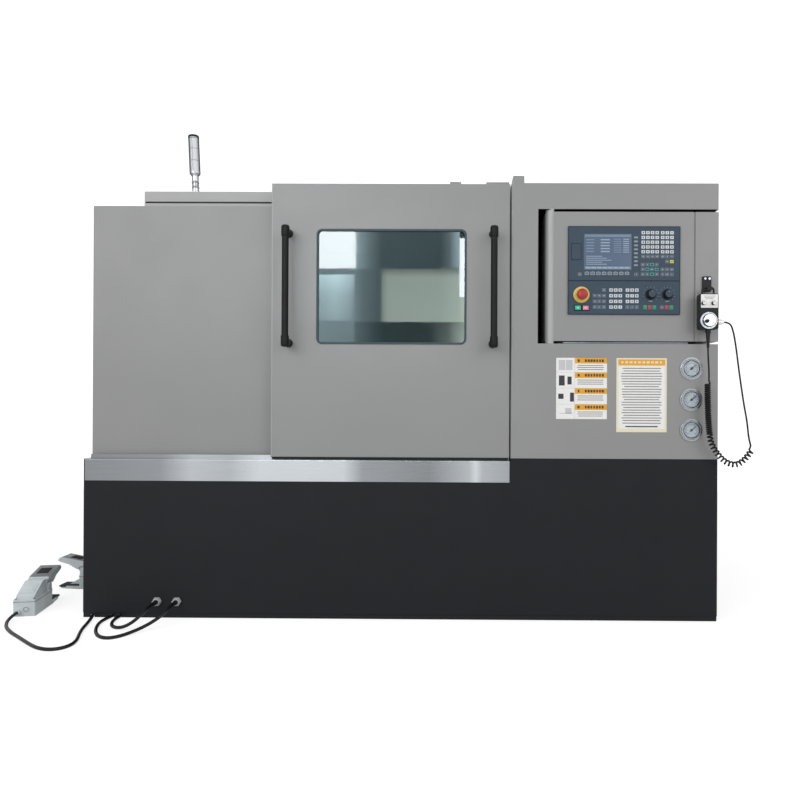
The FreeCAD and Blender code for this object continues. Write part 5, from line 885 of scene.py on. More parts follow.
def gauge_dials():
    """White dials with scales, needles and glasses in the three gauge cases."""
    centres = [mm(GAUGE_X, SHEET_Y / MM - DIAL_DEPTH, z) for z in GAUGE_Z]
    ring = [(27.4, 0.3), (29.4, 0.3), (31.4, 3.4), (30.2, 3.6), (27.4, 0.8), (27.4, 0.3)]
    glass = [(0, 3.4), (24, 3.2), (30.6, 2.4), (30.6, 3.4), (24, 4.3), (0, 4.6)]
    turned("gauge_dials", "root", "gauge_steel", [(0, 0), (28.8, 0), (28.8, 0.4), (0, 0.4)], centres,
           FRONT_TURN, "dial_white", 64)
    turned("gauge_inner_rings", "root", "gauge_steel", ring, centres, FRONT_TURN, "bezel_shadow", 64)
    turned("gauge_glasses", "root", "lamp_clear", glass, centres, FRONT_TURN, "gauge_glass", 64)
    for k, centre in enumerate(centres, 1):
        at = centre + mm(0, -0.5, 0)
        for title, count, radius, size in (("marks", 11, 23.2, (4.6, 1.1)),
                                           ("fine_marks", 51, 24.4, (2.2, 0.45))):
            marks_at("gauge_%s_%d" % (title, k), "root", "gauge_steel", "black_ink", at, count, DIAL_ANGLES,
                     radius, size)
        arc_band("gauge_arc_%d" % k, at, 20.2, 21.0, -DIAL_ANGLES[0])
        dial_numbers("gauge_numbers_%d" % k, at, 15.6)
        needle("gauge_needle_%d" % k, centre)


def arc_band(name, centre, inner, outer, reach):
    """A printed arc that faces the operator, as far to both sides of the top."""
    steps = 40
    verts, faces = [], []
    for k in range(steps + 1):
        angle = math.radians(-reach + 2 * reach * k / steps)
        for radius in (inner, outer):
            for lift in (0.0, -0.15):
                verts.append(centre + mm(radius * math.sin(angle), lift, radius * math.cos(angle)))
    for k in range(steps):
        a, b = 4 * k, 4 * k + 4
        faces += [(a + 1, a + 3, b + 3, b + 1), (a, b, b + 2, a + 2), (a, a + 1, b + 1, b),
                  (a + 2, b + 2, b + 3, a + 3)]
    settle(name, mesh_from(name, verts, faces), "root", "gauge_steel", finishes["black_ink"])


def dial_numbers(name, centre, radius):
    """Plain numbers round a dial, 0 to 10 by twos."""
    bm = bmesh.new()
    first, sweep = DIAL_ANGLES
    for k in range(6):
        angle = math.radians(first + sweep * k / 5)
        line = bpy.data.curves.new("number", "FONT")
        line.body = str(2 * k)
        line.size = 5.4 * MM
        line.extrude = 0.1 * MM
        line.align_x = "CENTER"
        line.align_y = "CENTER"
        mesh = baked(put("number", line))
        place = centre + mm(radius * math.sin(angle), 0, radius * math.cos(angle))
        mesh.transform(Matrix.Translation(place) @ Matrix.Rotation(math.radians(90), 4, "X"))
        bm.from_mesh(mesh)
    settle(name, mesh_of(bm, name), "root", "gauge_steel", finishes["black_ink"])


def needle(name, centre):
    """A gauge's black needle with its boss, over the one of the case."""
    bm = bmesh.new()
    add_rounded(bm, mm(-8, -3.0, -1.6), mm(23, -1.7, 1.6), 0.4 * MM)
    turn = Matrix.Translation(centre) @ Matrix.Rotation(-math.radians(NEEDLE_TURN), 4, "Y")
    bmesh.ops.transform(bm, matrix=turn, verts=bm.verts[:])
    add_lathe(bm, [(0, 1.4), (4.4, 1.4), (4.4, 3.0), (3.4, 3.3), (0, 3.3)], centre, FRONT_TURN, 32)
    bmesh.ops.recalc_face_normals(bm, faces=bm.faces[:])
    settle(name, mesh_of(bm, name, 35), "root", "gauge_steel", finishes["black_ink"])


CARD_LEFT, CARD_TOP = 584.0, 984.0      # the four-row plate
CARD_WIDE, CARD_TALL = 190, 229
SHEET_LEFT, SHEET_TOP = 809.0, 984.0    # the ruled plate
SHEET_WIDE, SHEET_TALL = 188, 277
ROW_DROPS = (0.0, 54.5, 113.8, 173.8)
PICTOGRAMS = ((9, 8, 25, 38, 1, 4), (36, 8, 25, 38, 1, 4), (10, 66, 22, 38, 1, 3), (42, 70, 16, 30, 1, 3),
              (8, 134, 20, 20, 1, 3), (52, 130, 15, 34, 1, 3), (12, 206, 48, 3, 1, 4),
              (34, 188, 24, 20, 1, 4))


def info_plates():
    """Two generic plates: rows with coloured heads, and a ruled page; neither has words on it."""
    face, thick = SHEET_Y - 0.4 * MM, 0.3 * MM
    fields = [(0, 0, CARD_WIDE, CARD_TALL, 0, 0)]
    fields += [(70, drop, 120, 21, 1, 1) for drop in ROW_DROPS]
    fields += [(0, drop - 0.8, CARD_WIDE, 0.8, 1, 2) for drop in ROW_DROPS[1:]]
    fields += [(68.6, 0, 0.8, CARD_TALL, 1, 2), *PICTOGRAMS]
    fields_plate("row_plate", "root", "panel_blue", (CARD_LEFT * MM, face, CARD_TOP * MM), thick, fields,
                 ["white_film", "orange_ink", "grey_ink", "black_ink", "pale_ink"])
    head_y = face / MM - 0.55
    line_y = head_y + 0.2
    heads = [mm(CARD_LEFT + x, head_y, CARD_TOP - drop - 10.5) for drop in ROW_DROPS
             for x in (84, 111, 121.5, 132, 142.5, 153, 163.5, 174)]
    lines = [mm(CARD_LEFT + 128, line_y, CARD_TOP - drop - 10.5 - step) for drop in ROW_DROPS
             for step in (18, 25.5, 33)]
    caps_at("row_plate_blocks", heads, (8.6, 10), "black_ink", 0.3, 0.7, body="root")
    caps_at("row_plate_lines", lines, (104, 2.6), "line_ink", 0.3, 0.86, 5, "root")

    fields = [(0, 0, SHEET_WIDE, SHEET_TALL, 0, 0), (7, 5, 175, 22.5, 1, 1), (8, 30, 172, 234, 1, 2)]
    fields_plate("ruled_plate", "root", "panel_blue", (SHEET_LEFT * MM, face, SHEET_TOP * MM), thick, fields,
                 ["cream_film", "orange_ink", "white_film"])
    rules = [mm(SHEET_LEFT + SHEET_WIDE / 2, line_y, SHEET_TOP - 38.5 - 9.75 * k) for k in range(22)]
    words = [mm(SHEET_LEFT + x, head_y, SHEET_TOP - 16) for x in range(22, 176, 16)]
    foot = [mm(SHEET_LEFT + SHEET_WIDE / 2, head_y, SHEET_TOP - 256)]
    caps_at("ruled_plate_lines", rules, (164, 3.4), "line_ink", 0.3, 0.8, 11, "root")
    caps_at("ruled_plate_head", words, (13, 8), "cream_film", 0.3, 0.5, 2, "root")
    caps_at("ruled_plate_foot", foot, (122, 4.6), "black_ink", 0.3, body="root")


# ---------------------------------------------------------------- control panel
# Keys as the part has them: first centre across and down from the panel's corner, columns, rows, pitches.
UPPER_PITCH, MIDDLE_PITCH, LOWER_PITCH = (17.2, 17.8), (17.2, 18.0), (17.2, 21.2)
PLAIN_KEYS = ((279.4, 24.0, 4, 5, *UPPER_PITCH), (351.6, 24.0, 3, 5, *UPPER_PITCH))
GREY_KEYS = ((279.4, 113.0, 4, 1, *UPPER_PITCH), (351.6, 113.0, 3, 1, *UPPER_PITCH),
             (368.6, 131.6, 1, 1, *UPPER_PITCH), (277.8, 143.2, 4, 3, *MIDDLE_PITCH),
             (351.6, 161.2, 3, 2, *MIDDLE_PITCH), (43.2, 180.0, 1, 1, *UPPER_PITCH),
             (253.6, 180.0, 1, 1, *UPPER_PITCH))
TEAL_KEYS = ((312.2, 143.2, 1, 1, *MIDDLE_PITCH), (295.0, 161.2, 1, 1, *MIDDLE_PITCH),
             (329.4, 161.2, 1, 1, *MIDDLE_PITCH), (312.2, 179.2, 1, 1, *MIDDLE_PITCH))
YELLOW_KEYS = ((385.8, 131.6, 1, 1, *UPPER_PITCH),)
SIDE_KEYS = ((252.0, 42.0, 1, 8, 17.2, 14.8),)
LOWER_KEYS = ((70.0, 176.6, 8, 1, 21.3, 17.8),)
OUTLINED_KEYS = ((133.6, 35.0, 1, 1, *LOWER_PITCH), (99.2, 56.2, 3, 3, *LOWER_PITCH),
                 (221.4, 98.6, 3, 1, *LOWER_PITCH), (349.6, 99.0, 1, 1, *LOWER_PITCH))
WHITE_KEYS = ((160.2, 35.0, 3, 4, *LOWER_PITCH), (221.4, 35.0, 3, 3, *LOWER_PITCH))
GREEN_KEYS = tuple((across, 99.0, 1, 1, *LOWER_PITCH) for across in (287.0, 321.4, 384.4))
RED_KEYS = tuple((across, 99.0, 1, 1, *LOWER_PITCH) for across in (304.2, 367.0))
SOCKET_COVER = (11.0, 64.0, 38.0, 62.0)         # left, drop, width and height on the display unit


def key_places(groups, top, lift=0.0, shift=(0.0, 0.0)):
    """The places of the keys of some groups, lifted off their faces and shifted, in millimetres."""
    places = []
    for across, down, columns, rows, pitch_x, pitch_z in groups:
        for i in range(columns):
            for j in range(rows):
                places.append(Vector((PANEL_X0 + (across + i * pitch_x + shift[0]) * MM, KEY_FACE - lift * MM,
                                      top - (down + j * pitch_z - shift[1]) * MM)))
    return places


def panel_keys():
    """Light caps with dark marks, dark caps with light outlines, and the coloured ones."""
    upper, lower = PANEL_TOP, PANEL_SPLIT
    plain = (13.6, 12.2)
    for number, (groups, top) in enumerate(((PLAIN_KEYS, upper), (WHITE_KEYS, lower))):
        caps_at("light_caps_%d" % number, key_places(groups, top), plain, "key_white")
        caps_at("light_cap_marks_%d" % number, key_places(groups, top, 0.4), (5.2, 5.6), "key_mark", 0.3, 0.5)
    for number, (groups, top) in enumerate(((GREY_KEYS, upper), (OUTLINED_KEYS, lower))):
        caps_at("dark_cap_rims_%d" % number, key_places(groups, top), plain, "key_rim")
        caps_at("dark_caps_%d" % number, key_places(groups, top, 0.35), (11.6, 10.2), "panel_blue", 0.3)
        caps_at("dark_cap_marks_%d" % number, key_places(groups, top, 0.5), (7.4, 5.6), "key_rim", 0.3, 0.5)
    caps_at("teal_rims", key_places(TEAL_KEYS, upper, 0.5), plain, "key_teal", 0.4)
    caps_at("teal_middles", key_places(TEAL_KEYS, upper, 0.75), (9.2, 7.8), "panel_blue", 0.3)
    caps_at("yellow_cap", key_places(YELLOW_KEYS, upper), plain, "key_yellow")
    caps_at("yellow_cap_mark", key_places(YELLOW_KEYS, upper, 0.5), (4.0, 4.6), "panel_blue", 0.3)
    for name, groups, colour in (("green", GREEN_KEYS, "key_green"), ("red", RED_KEYS, "key_red")):
        caps_at(name + "_rims", key_places(groups, lower), (13.4, 15.0), colour)
        caps_at(name + "_middles", key_places(groups, lower, 0.35, (0, -1.5)), (8.6, 7.4), "panel_blue", 0.3)
        caps_at(name + "_marks", key_places(groups, lower, 0.5, (0, -1.5)), (4.8, 4.6), colour, 0.3)
    caps_at("side_key_bars", key_places(SIDE_KEYS, upper), (17.2, 9.0), "key_grey")
    caps_at("side_key_lights", key_places(SIDE_KEYS, upper, 0.4), (13.0, 5.2), "key_rim", 0.3, 0.8)
    caps_at("lower_key_caps", key_places(LOWER_KEYS, upper), (16.6, 12.0), "key_rim")
    caps_at("lower_key_middles", key_places(LOWER_KEYS, upper, 0.4), (11.4, 7.4), "key_grey", 0.3)
    caps_at("lower_key_dots", key_places(LOWER_KEYS, upper, 0.3, (0, 6.4)), (4.6, 2.2), "key_rim", 0.3)


def display_fields():
    """The lit display: head line, two field boxes, a list and the key legends as plain bars."""
    corner = (screen_low.x, screen_low.y, screen_high.z)
    fields = [(3, 3, 171.6, 9, 1, 1), (3, 14, 100, 62, 1, 0), (106, 14, 68.6, 62, 1, 0),
              (3, 78, 171.6, 42, 1, 0), (3, 122, 171.6, 10, 1, 1)]
    fields += [(7 + 20.6 * k, 124, 17.5, 6, 2, 2) for k in range(8)]
    fields += [(8, 20 + 11 * k, 30, 5, 2, 3) for k in range(5)]
    fields += [(62, 20 + 11 * k, 34, 5, 2, 2) for k in range(5)]
    fields += [(111, 19 + 8 * k, 28, 3.4, 2, 3) for k in range(7)]
    fields += [(146, 19 + 8 * k, 22, 3.4, 2, 2) for k in range(7)]
    fields += [(8, 83 + 7.4 * k, 60 + 17 * (k % 3), 2.8, 2, 2) for k in range(5)]
    fields_plate("display_fields", "control_box", "screen_glass", corner, 0.15 * MM, fields,
                 ["display_dark", "display_pale", "display_white", "display_pale"])


def bars_round(x0, x1, z0, z1, y0, y1, width):
    """Four bars inside the edges of a rectangle that faces the operator, as blocks in millimetres."""
    return [((x0, y0, z1 - width), (x1, y1, z1)), ((x0, y0, z0), (x1, y1, z0 + width)),
            ((x0, y0, z0), (x0 + width, y1, z1)), ((x1 - width, y0, z0), (x1, y1, z1))]


def panel_frame():
    """Dark edges round both panels, the joint between them and the socket cover's rim."""
    x0, x1 = PANEL_X0 / MM, display_high.x / MM
    z0, z1, split = machine_low.z / MM, PANEL_TOP / MM, PANEL_SPLIT / MM
    y = PANEL_FACE
    left, drop, width, height = SOCKET_COVER
    bars = bars_round(x0, x1, z0, z1, y - 0.5, y, 2.0)
    bars += [((x0, y - 0.6, split - 1.6), (x1, y, split + 1.6))]
    bars += bars_round(x0 + left, x0 + left + width, z1 - drop - height, z1 - drop, y - 1.5, y - 0.9, 1.6)
    rounded("panel_frame", "control_box", "rubber_black", bars, "panel_edge", 0.2)


def knob_dials():
    """Light marks round the two override knobs, a bar under each and a line on each grip."""
    cap = [(0, -0.4), (12.4, -0.4), (13.2, 0.2), (12.6, 0.7), (0, 0.9)]
    for name in ("feed_knob", "speed_knob"):
        x, y, z = front_of(name)
        marks_at(name + "_marks", "control_box", "panel_blue", "key_rim", mm(x, PANEL_FACE - 0.3, z), 11,
                 (-132, 264), 27.6, (3.6, 1.5), 0.5)
        caps_at(name + "_bar", [mm(x, PANEL_FACE - 0.1, z - 25)], (15.0, 3.0), "key_rim", 0.4)
        turned(name + "_cap", name, "black_plastic", cap, [mm(x, y, z)], FRONT_TURN, "panel_blue")
        rounded(name + "_line", name, "black_plastic", [((x - 0.6, y - 1.1, z + 6), (x + 0.6, y, z + 12))],
                "key_rim", 0.2)


def push_marks():
    """A light field on the start and the stop key, and dark surrounds."""
    gap, width = 0.4, 3.0
    y0, y1 = PANEL_FACE - 1.4, PANEL_FACE
    for name, slot in (("start_button", "button_green"), ("stop_button", "button_red")):
        x, y, z = front_of(name)
        rounded(name + "_field", name, slot, [((x - 3, y - 0.3, z - 2.6), (x + 3, y + 0.4, z + 2.6))],
                "key_white", 0.2)
        low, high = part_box(name)
        x0, x1, z0, z1 = low.x / MM - gap, high.x / MM + gap, low.z / MM - gap, high.z / MM + gap
        rounded(name + "_surround", "control_box", "rubber_black",
                [((x0 - width, y0, z1), (x1 + width, y1, z1 + width)),
                 ((x0 - width, y0, z0 - width), (x1 + width, y1, z0)),
                 ((x0 - width, y0, z0), (x0, y1, z1)), ((x1, y0, z0), (x1 + width, y1, z1))],
                "panel_edge", 0.3)


# ---------------------------------------------------------------- hand pendant
PENDANT_FACE = -808.5
HANGER_FACE = -756.0
PLATE_X, PLATE_Z = (1101.0, 1163.0), (1165.0, 1214.0)
HANGER_SCREWS = ((1136.3, 1281.0), (1152.4, 1281.0))


def pendant_trim():
    """The pendant's white plate with its printed lines, its knobs' scales, white caps that paint a highlight
    on the knobs' tops, and the hanger's screws.
    """
    y = PENDANT_FACE - 1.0
    rounded("pendant_plate", "control_box", "black_plastic",
            [((PLATE_X[0], y - 0.4, PLATE_Z[0]), (PLATE_X[1], y + 0.1, PLATE_Z[1]))], "white_film", 0.2)
    lines = [mm(PLATE_X[0] + 31, y - 0.5, PLATE_Z[1] - drop) for drop in (6, 11, 16)]
    caps_at("pendant_plate_lines", lines, (50.0, 2.0), "grey_ink", 0.3, 0.55, 7, slot="black_plastic")
    cap = [(0, -0.4), (5.2, -0.4), (5.8, 0.1), (5.4, 0.6), (0, 0.8)]
    for k, name in enumerate(("axis_knob", "rate_knob"), 1):
        x, front, z = front_of(name)
        marks_at("pendant_scale_%d" % k, "control_box", "black_plastic", "black_ink", mm(x, y - 0.5, z), 6,
                 (-75, 150), 11.5, (2.6, 1.2), 0.4)
        # Painted highlight: each knob's white cap sits 1 mm right of its middle, leaving a dark crescent of
        # painted shade at its left.
        turned(name + "_cap", name, "black_plastic", cap, [mm(x + 1.0, front, z)], FRONT_TURN,
               "white_film", 32)
        rounded(name + "_pointer", name, "black_plastic",
                [((x + 0.4, front - 1.2, z + 1.5), (x + 1.6, front - 0.2, z + 5.6))], "black_ink", 0.2)
    screw_row("hanger_screws", "control_box", [mm(x, HANGER_FACE, z) for x, z in HANGER_SCREWS], FRONT_TURN,
              4.4, 2.6, "bright_metal")


def wheel_scale():
    """A hundred lines round the handwheel's rim, its dark grip ring and the crank's sleeve."""
    x, _, z = front_of("pendant_wheel")
    face = PENDANT_FACE - 9.0
    ring = [(23.2, 0), (24.6, 0), (24.4, 4.0), (23.4, 8.4), (22.4, 8.4), (23.2, 0)]
    sleeve = [(0, 0), (6.4, 0), (6.8, 1.2), (5.4, 5.0), (6.0, 9.2), (5.0, 11.0), (0, 11.4)]
    marks_at("wheel_marks", "pendant_wheel", "bright_metal", "black_ink", mm(x, face - 0.05, z), 101,
             (0, 360), 26.8, (2.6, 0.6))
    turned("wheel_grip_ring", "pendant_wheel", "bright_metal", ring, [mm(x, face, z)], FRONT_TURN,
           "black_plastic", 64)
    turned("crank_sleeve", "pendant_wheel", "bright_metal", sleeve, [mm(x - 12, PENDANT_FACE - 18, z - 4)],
           FRONT_TURN, "black_plastic", 32)


# ---------------------------------------------------------------- lamp, glands, back
LAMP_FOOT = (-825.0, -600.0)
LAMP_LEAN = math.radians(2.7)


def lamp_trim():
    """The signal lamp's dark cap and joint, the seams down its lens and the rings on its post."""
    foot = mm(*LAMP_FOOT, rail_high.z / MM)
    laid = Matrix.Translation(foot) @ Matrix.Rotation(-LAMP_LEAN, 4, "Y")
    near, far, low, high = 20.4, 21.9, 95, 225
    ribs = [((-0.9, -far, low), (0.9, -near, high)), ((-0.9, near, low), (0.9, far, high)),
            ((-far, -0.9, low), (-near, 0.9, high)), ((near, -0.9, low), (far, 0.9, high))]
    cap = [(21.1, 227), (21.5, 228), (21.4, 232), (20.0, 235.8), (15, 237), (0, 237.2), (0, 236.4),
           (15, 236.2), (19.6, 234.8), (20.8, 231), (21.1, 227)]
    rings = [(13.0, 26), (14.6, 27), (14.6, 33), (13.0, 34), (13.0, 46), (14.6, 47), (14.6, 53), (13.0, 54),
             (13.0, 26)]
    joint = [(21.05, 221.5), (21.35, 222), (21.35, 223), (21.05, 223.5), (21.05, 221.5)]
    lean = (0.0, -LAMP_LEAN, 0.0)
    turned("lamp_cap", "root", "lamp_metal", cap, [foot], lean, "lamp_dark")
    rounded("lamp_ribs", "root", "lamp_clear", ribs, "lamp_seam", 0.4, laid)
    turned("lamp_rings", "root", "lamp_metal", rings, [foot], lean, "lamp_seam")
    turned("lamp_joint", "root", "lamp_metal", joint, [foot], lean, "lamp_dark")


def gland_nuts():
    """Bright hexagonal nuts of the two cable glands."""
    places = [mm(x, base_low.y / MM, GLAND_Z) for x in GLANDS]
    turned("gland_nuts", "root", "rubber_black",
           [(9.6, 0.2), (16.9, 0.2), (16.9, 12.2), (15.2, 14.4), (9.6, 14.4), (9.6, 0.2)], places, FRONT_TURN,
           "gland_metal", 6)


SLOTS = 9
SLOT_PITCH = 32.0
HOOD_LENGTH, HOOD_RADIUS = 264.0, 6.5
SCREWS_LOW, SCREWS_SIDE = 640.0, (880.0, 1120.0, 1360.0)        # heights of the cover screws


def slot_column(x, y, top, drop):
    """Places of the vent slots down a cover, the first one a drop in millimetres under the cover's top."""
    return [Vector((x, y, top - (drop + SLOT_PITCH * k) * MM)) for k in range(SLOTS)]


def louvres():
    """Half-round lips pressed out over the vent slots of the covers."""
    hood = {"Length": HOOD_LENGTH * MM, "Radius": HOOD_RADIUS * MM}
    side = slot_column(cover_low.x, 0.0, cover_high.z, 170.5)
    back = slot_column((cover_high.x + cabinet_low.x) / 2, housing_high.y, housing_high.z, 190.5)
    back += slot_column((cabinet_low.x + cabinet_high.x) / 2, cover_high.y, ROOF * MM, 230.5)
    grow("side_louvre_hoods", hoods, "root", "body_paint", "body_paint",
         dict(hood, Turn=(0.0, 0.0, math.radians(90))), side)
    grow("back_louvre_hoods", hoods, "root", "body_paint", "body_paint", dict(hood, Turn=UP_TURN), back)


def back_screws():
    """Screws along the edges of the back covers, and of the left side."""
    x, y = cover_low.x / MM, cover_high.y / MM
    places = []
    for x0, x1, top in ((-1160, -503, cover_high.z / MM), (-455, 390, housing_high.z / MM),
                        (440, 1165, ROOF)):
        for k in range(5):
            across = x0 + (x1 - x0) * k / 4
            places += [mm(across, y, SCREWS_LOW), mm(across, y, top - 40)]
        for z in SCREWS_SIDE:
            places += [mm(x0, y, z), mm(x1, y, z)]
    screw_row("back_cover_screws", "root", places, BACK_TURN, 5.5)
    side = [mm(x, deep, z) for deep in (-640, -220, 220, 640) for z in (SCREWS_LOW, cover_high.z / MM - 40)]
    screw_row("side_cover_screws", "root", side, LEFT_TURN, 5.5)


# ---------------------------------------------------------------- inside
def round_x(centre, radius, degrees, ahead=0.0):
    """A place on a circle round an axis along X, counted from straight up, sizes in millimetres."""
    angle = math.radians(degrees)
    return centre + mm(ahead, radius * math.sin(angle), radius * math.cos(angle))


def chuck_screws():
    """Six screws in the chuck's face and two in each jaw."""
    centre = Vector((chuck_high.x, (chuck_low.y + chuck_high.y) / 2, (chuck_low.z + chuck_high.z) / 2))
    ring = [round_x(centre, 84, 30 + 60 * k) for k in range(6)]
    screw_row("chuck_face_screws", "spindle", ring, RIGHT_TURN, 6.0)
    for k in range(3):
        places = [round_x(centre, 84, -120 * k, 12), round_x(centre, 42, -120 * k, 36)]
        screw_row("jaw_%d_screws" % (k + 1), "jaw_%d" % (k + 1), places, RIGHT_TURN, 6.0)


DISC_FACE_X = 0.0


def turret_screws():
    """Eight screws on a circle in the turret disc's left face, round its hub."""
    low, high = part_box("turret_disc")
    centre = Vector((DISC_FACE_X * MM, (low.y + high.y) / 2, (low.z + high.z) / 2))
    ring = [round_x(centre, 95, 22.5 + 45 * k) for k in range(8)]
    screw_row("turret_face_screws", "turret", ring, LEFT_TURN, 7.0, 4.0)


# ---------------------------------------------------------------- foot switches
PEDALS = (("front", (-1416, -739), 9.0), ("rear", (-1250, -325), 90.0))        # name, place and heading
ROOF_SLOPE = math.atan2(38, 74)
DECK_SLOPE = math.atan2(22, 114)
SEAM_HALF, SEAM_Y, SEAM_Z = 39.9, (-0.4, 160.4), (53.4, 54.8)       # gasket between a case and its cover


def pedal_turn(place, heading):
    """Local x across a foot switch, y from its cord end to its treadle, z up, in metres."""
    return Matrix.Translation(mm(*place, 0.0)) @ Matrix.Rotation(math.radians(heading), 4, "Z")


def foot_switch_trim():
    """Cover plates, gaskets, screws, plug rings, base mats and treads of the two foot switches."""
    (y0, y1), (z0, z1) = SEAM_Y, SEAM_Z
    x = SEAM_HALF
    gasket = [((-x, y0, z0), (x, y0 + 2, z1)), ((-x, y1 - 2, z0), (x, y1, z1)),
              ((-x, y0, z0), (1.7 - x, y1, z1)), ((x - 1.7, y0, z0), (x, y1, z1))]
    screws_at = [mm(across, along, 63.8) for across in (-32.5, 32.5) for along in (7, 153)]
    plate = [((-24, -24, -0.6), (24, 24, 1.6)), ((-13, -13, 1.0), (13, 13, 2.8))]
    mat = [((-31, 164 + 11 * k, 7.0), (31, 173 + 11 * k, 13.6)) for k in range(8)]
    mat.append(((-33, 162, 7.0), (33, 248, 13.0)))
    ribs = [((-21, -24 + 8.4 * k, 0.4), (21, -18 + 8.4 * k, 2.6)) for k in range(6)]
    ring = [(7.2, -0.4), (8.6, -0.4), (8.6, 0.5), (7.2, 0.5), (7.2, -0.4)]
    for name, place, heading in PEDALS:
        laid = pedal_turn(place, heading)
        roof = laid @ Matrix.Translation(mm(0, 47, 93.4)) @ Matrix.Rotation(ROOF_SLOPE, 4, "X")
        deck = laid @ Matrix.Translation(mm(0, 183, 127)) @ Matrix.Rotation(DECK_SLOPE, 4, "X")
        tread = name + "_treadle"
        rounded(name + "_cover_plate", "root", "pedal_grey", plate, "pedal_grey", 0.8, roof)
        rounded(name + "_gasket", "root", "pedal_grey", gasket, "tread_rubber", 0.3, laid)
        screw_row(name + "_cover_screws", "root", [laid @ spot for spot in screws_at], UP_TURN, 3.6, 1.6,
                  "pedal_grey", "lamp_dark")
        turned(name + "_plug_ring", "root", "pedal_grey", ring, [laid @ mm(8, -3, 28)],
               (math.radians(90), 0.0, math.radians(heading)), "bezel_shadow", 32)
        rounded(name + "_base_mat", "root", "pedal_grey", mat, "tread_rubber", 0.6, laid)
        rounded(name + "_tread_plate", tread, "pedal_grey", [((-36, -55, -1.0), (36, 54, 0.8))], "tread_grey",
                0.6, deck)
        rounded(name + "_tread_pad", tread, "pedal_grey", ribs, "tread_rubber", 0.6, deck)


# ---------------------------------------------------------------- studio
FLOOR_REACH = 14.0
BACKDROP_Y, BACKDROP_TOP = 4.5, 9.0
SWEEP_R = 1.5
WORLD_FILL = 0.7


def bare_material(name):
    """A material with an empty node tree."""
    material = bpy.data.materials.new(name)
    material.use_nodes = True
    material.node_tree.nodes.clear()
    return material


def pale_ground(name, share, glow_strength):
    """White that keeps the object's shadow and reads white to the camera where it is lit."""
    material = bare_material(name)
    tree = material.node_tree
    strength = math_node(tree, "MULTIPLY", seen_ray(tree), glow_strength)
    glow = add_node(tree, "ShaderNodeEmission", {"Color": (1, 1, 1, 1), "Strength": strength})
    matt = add_node(tree, "ShaderNodeBsdfDiffuse", {"Color": (0.9, 0.9, 0.9, 1)})
    mix = add_node(tree, "ShaderNodeMixShader", {"Fac": share, 1: matt.outputs[0], 2: glow.outputs[0]})
    add_node(tree, "ShaderNodeOutputMaterial", {"Surface": mix.outputs[0]})
    return material


def seen_ray(tree):
    """1 for what the camera sees, also in a mirror or through glass, and 0 for scattered light."""
    path = add_node(tree, "ShaderNodeLightPath")
    mirrored = math_node(tree, "MAXIMUM", path.outputs["Is Glossy Ray"], path.outputs["Is Transmission Ray"])
    return math_node(tree, "MAXIMUM", path.outputs["Is Camera Ray"], mirrored)


def sheet_of(name, rows, material):
    """A wide sheet through rows of (y, z)."""
    verts = [(x, y, z) for y, z in rows for x in (-FLOOR_REACH, FLOOR_REACH)]
    faces = [(2 * k, 2 * k + 1, 2 * k + 3, 2 * k + 2) for k in range(len(rows) - 1)]
    mesh = mesh_from(name, verts, faces)
    mesh.materials.append(material)
    mesh.shade_smooth()
    put(name, mesh)


def ground():
    """A floor, and a backdrop that sweeps up behind the machine."""
    sweep, steps = [(BACKDROP_Y - SWEEP_R, 0.0)], 12
    for k in range(1, steps + 1):
        angle = math.radians(90 * k / steps)
        sweep.append((BACKDROP_Y - SWEEP_R + SWEEP_R * math.sin(angle), SWEEP_R - SWEEP_R * math.cos(angle)))
    sheet_of("studio_floor", [(-FLOOR_REACH, 0.0), sweep[0]], pale_ground("floor_white", 0.5, 1.5))
    sheet_of("studio_backdrop", sweep + [(BACKDROP_Y, BACKDROP_TOP)], pale_ground("backdrop_white", 0.6, 1.6))


def studio_world():
    """White all round: full to the camera and in mirrors, weaker as light on the machine."""
    world = bpy.data.worlds.new("studio")
    world.use_nodes = True
    tree = world.node_tree
    tree.nodes.clear()
    level = add_node(tree, "ShaderNodeMapRange",
                     {"Value": seen_ray(tree), "To Min": WORLD_FILL, "To Max": 1.0})
    back = add_node(tree, "ShaderNodeBackground",
                    {"Color": (1, 1, 1, 1), "Strength": level.outputs["Result"]})
    add_node(tree, "ShaderNodeOutputWorld", {"Surface": back.outputs[0]})
    bpy.context.scene.world = world


def soft_box(name, place, aim, width, height, power):
    """A rectangular light at a place, aimed at another; metres and watts."""
    data = bpy.data.lights.new(name, "AREA")
    data.shape = "RECTANGLE"
    data.size = width
    data.size_y = height
    data.energy = power
    turn = (Vector(aim) - Vector(place)).to_track_quat("-Z", "Y").to_matrix().to_4x4()
    put(name, data).matrix_world = Matrix.Translation(place) @ turn


def card_glow(name, tint):
    """Light of a card behind the camera, as strong as its "glow" attribute says."""
    material = bare_material(name)
    tree = material.node_tree
    level = add_node(tree, "ShaderNodeAttribute", attribute_name="glow")
    light = add_node(tree, "ShaderNodeEmission", {"Color": tint, "Strength": level.outputs["Fac"]})
    add_node(tree, "ShaderNodeOutputMaterial", {"Surface": light.outputs[0]})
    return material


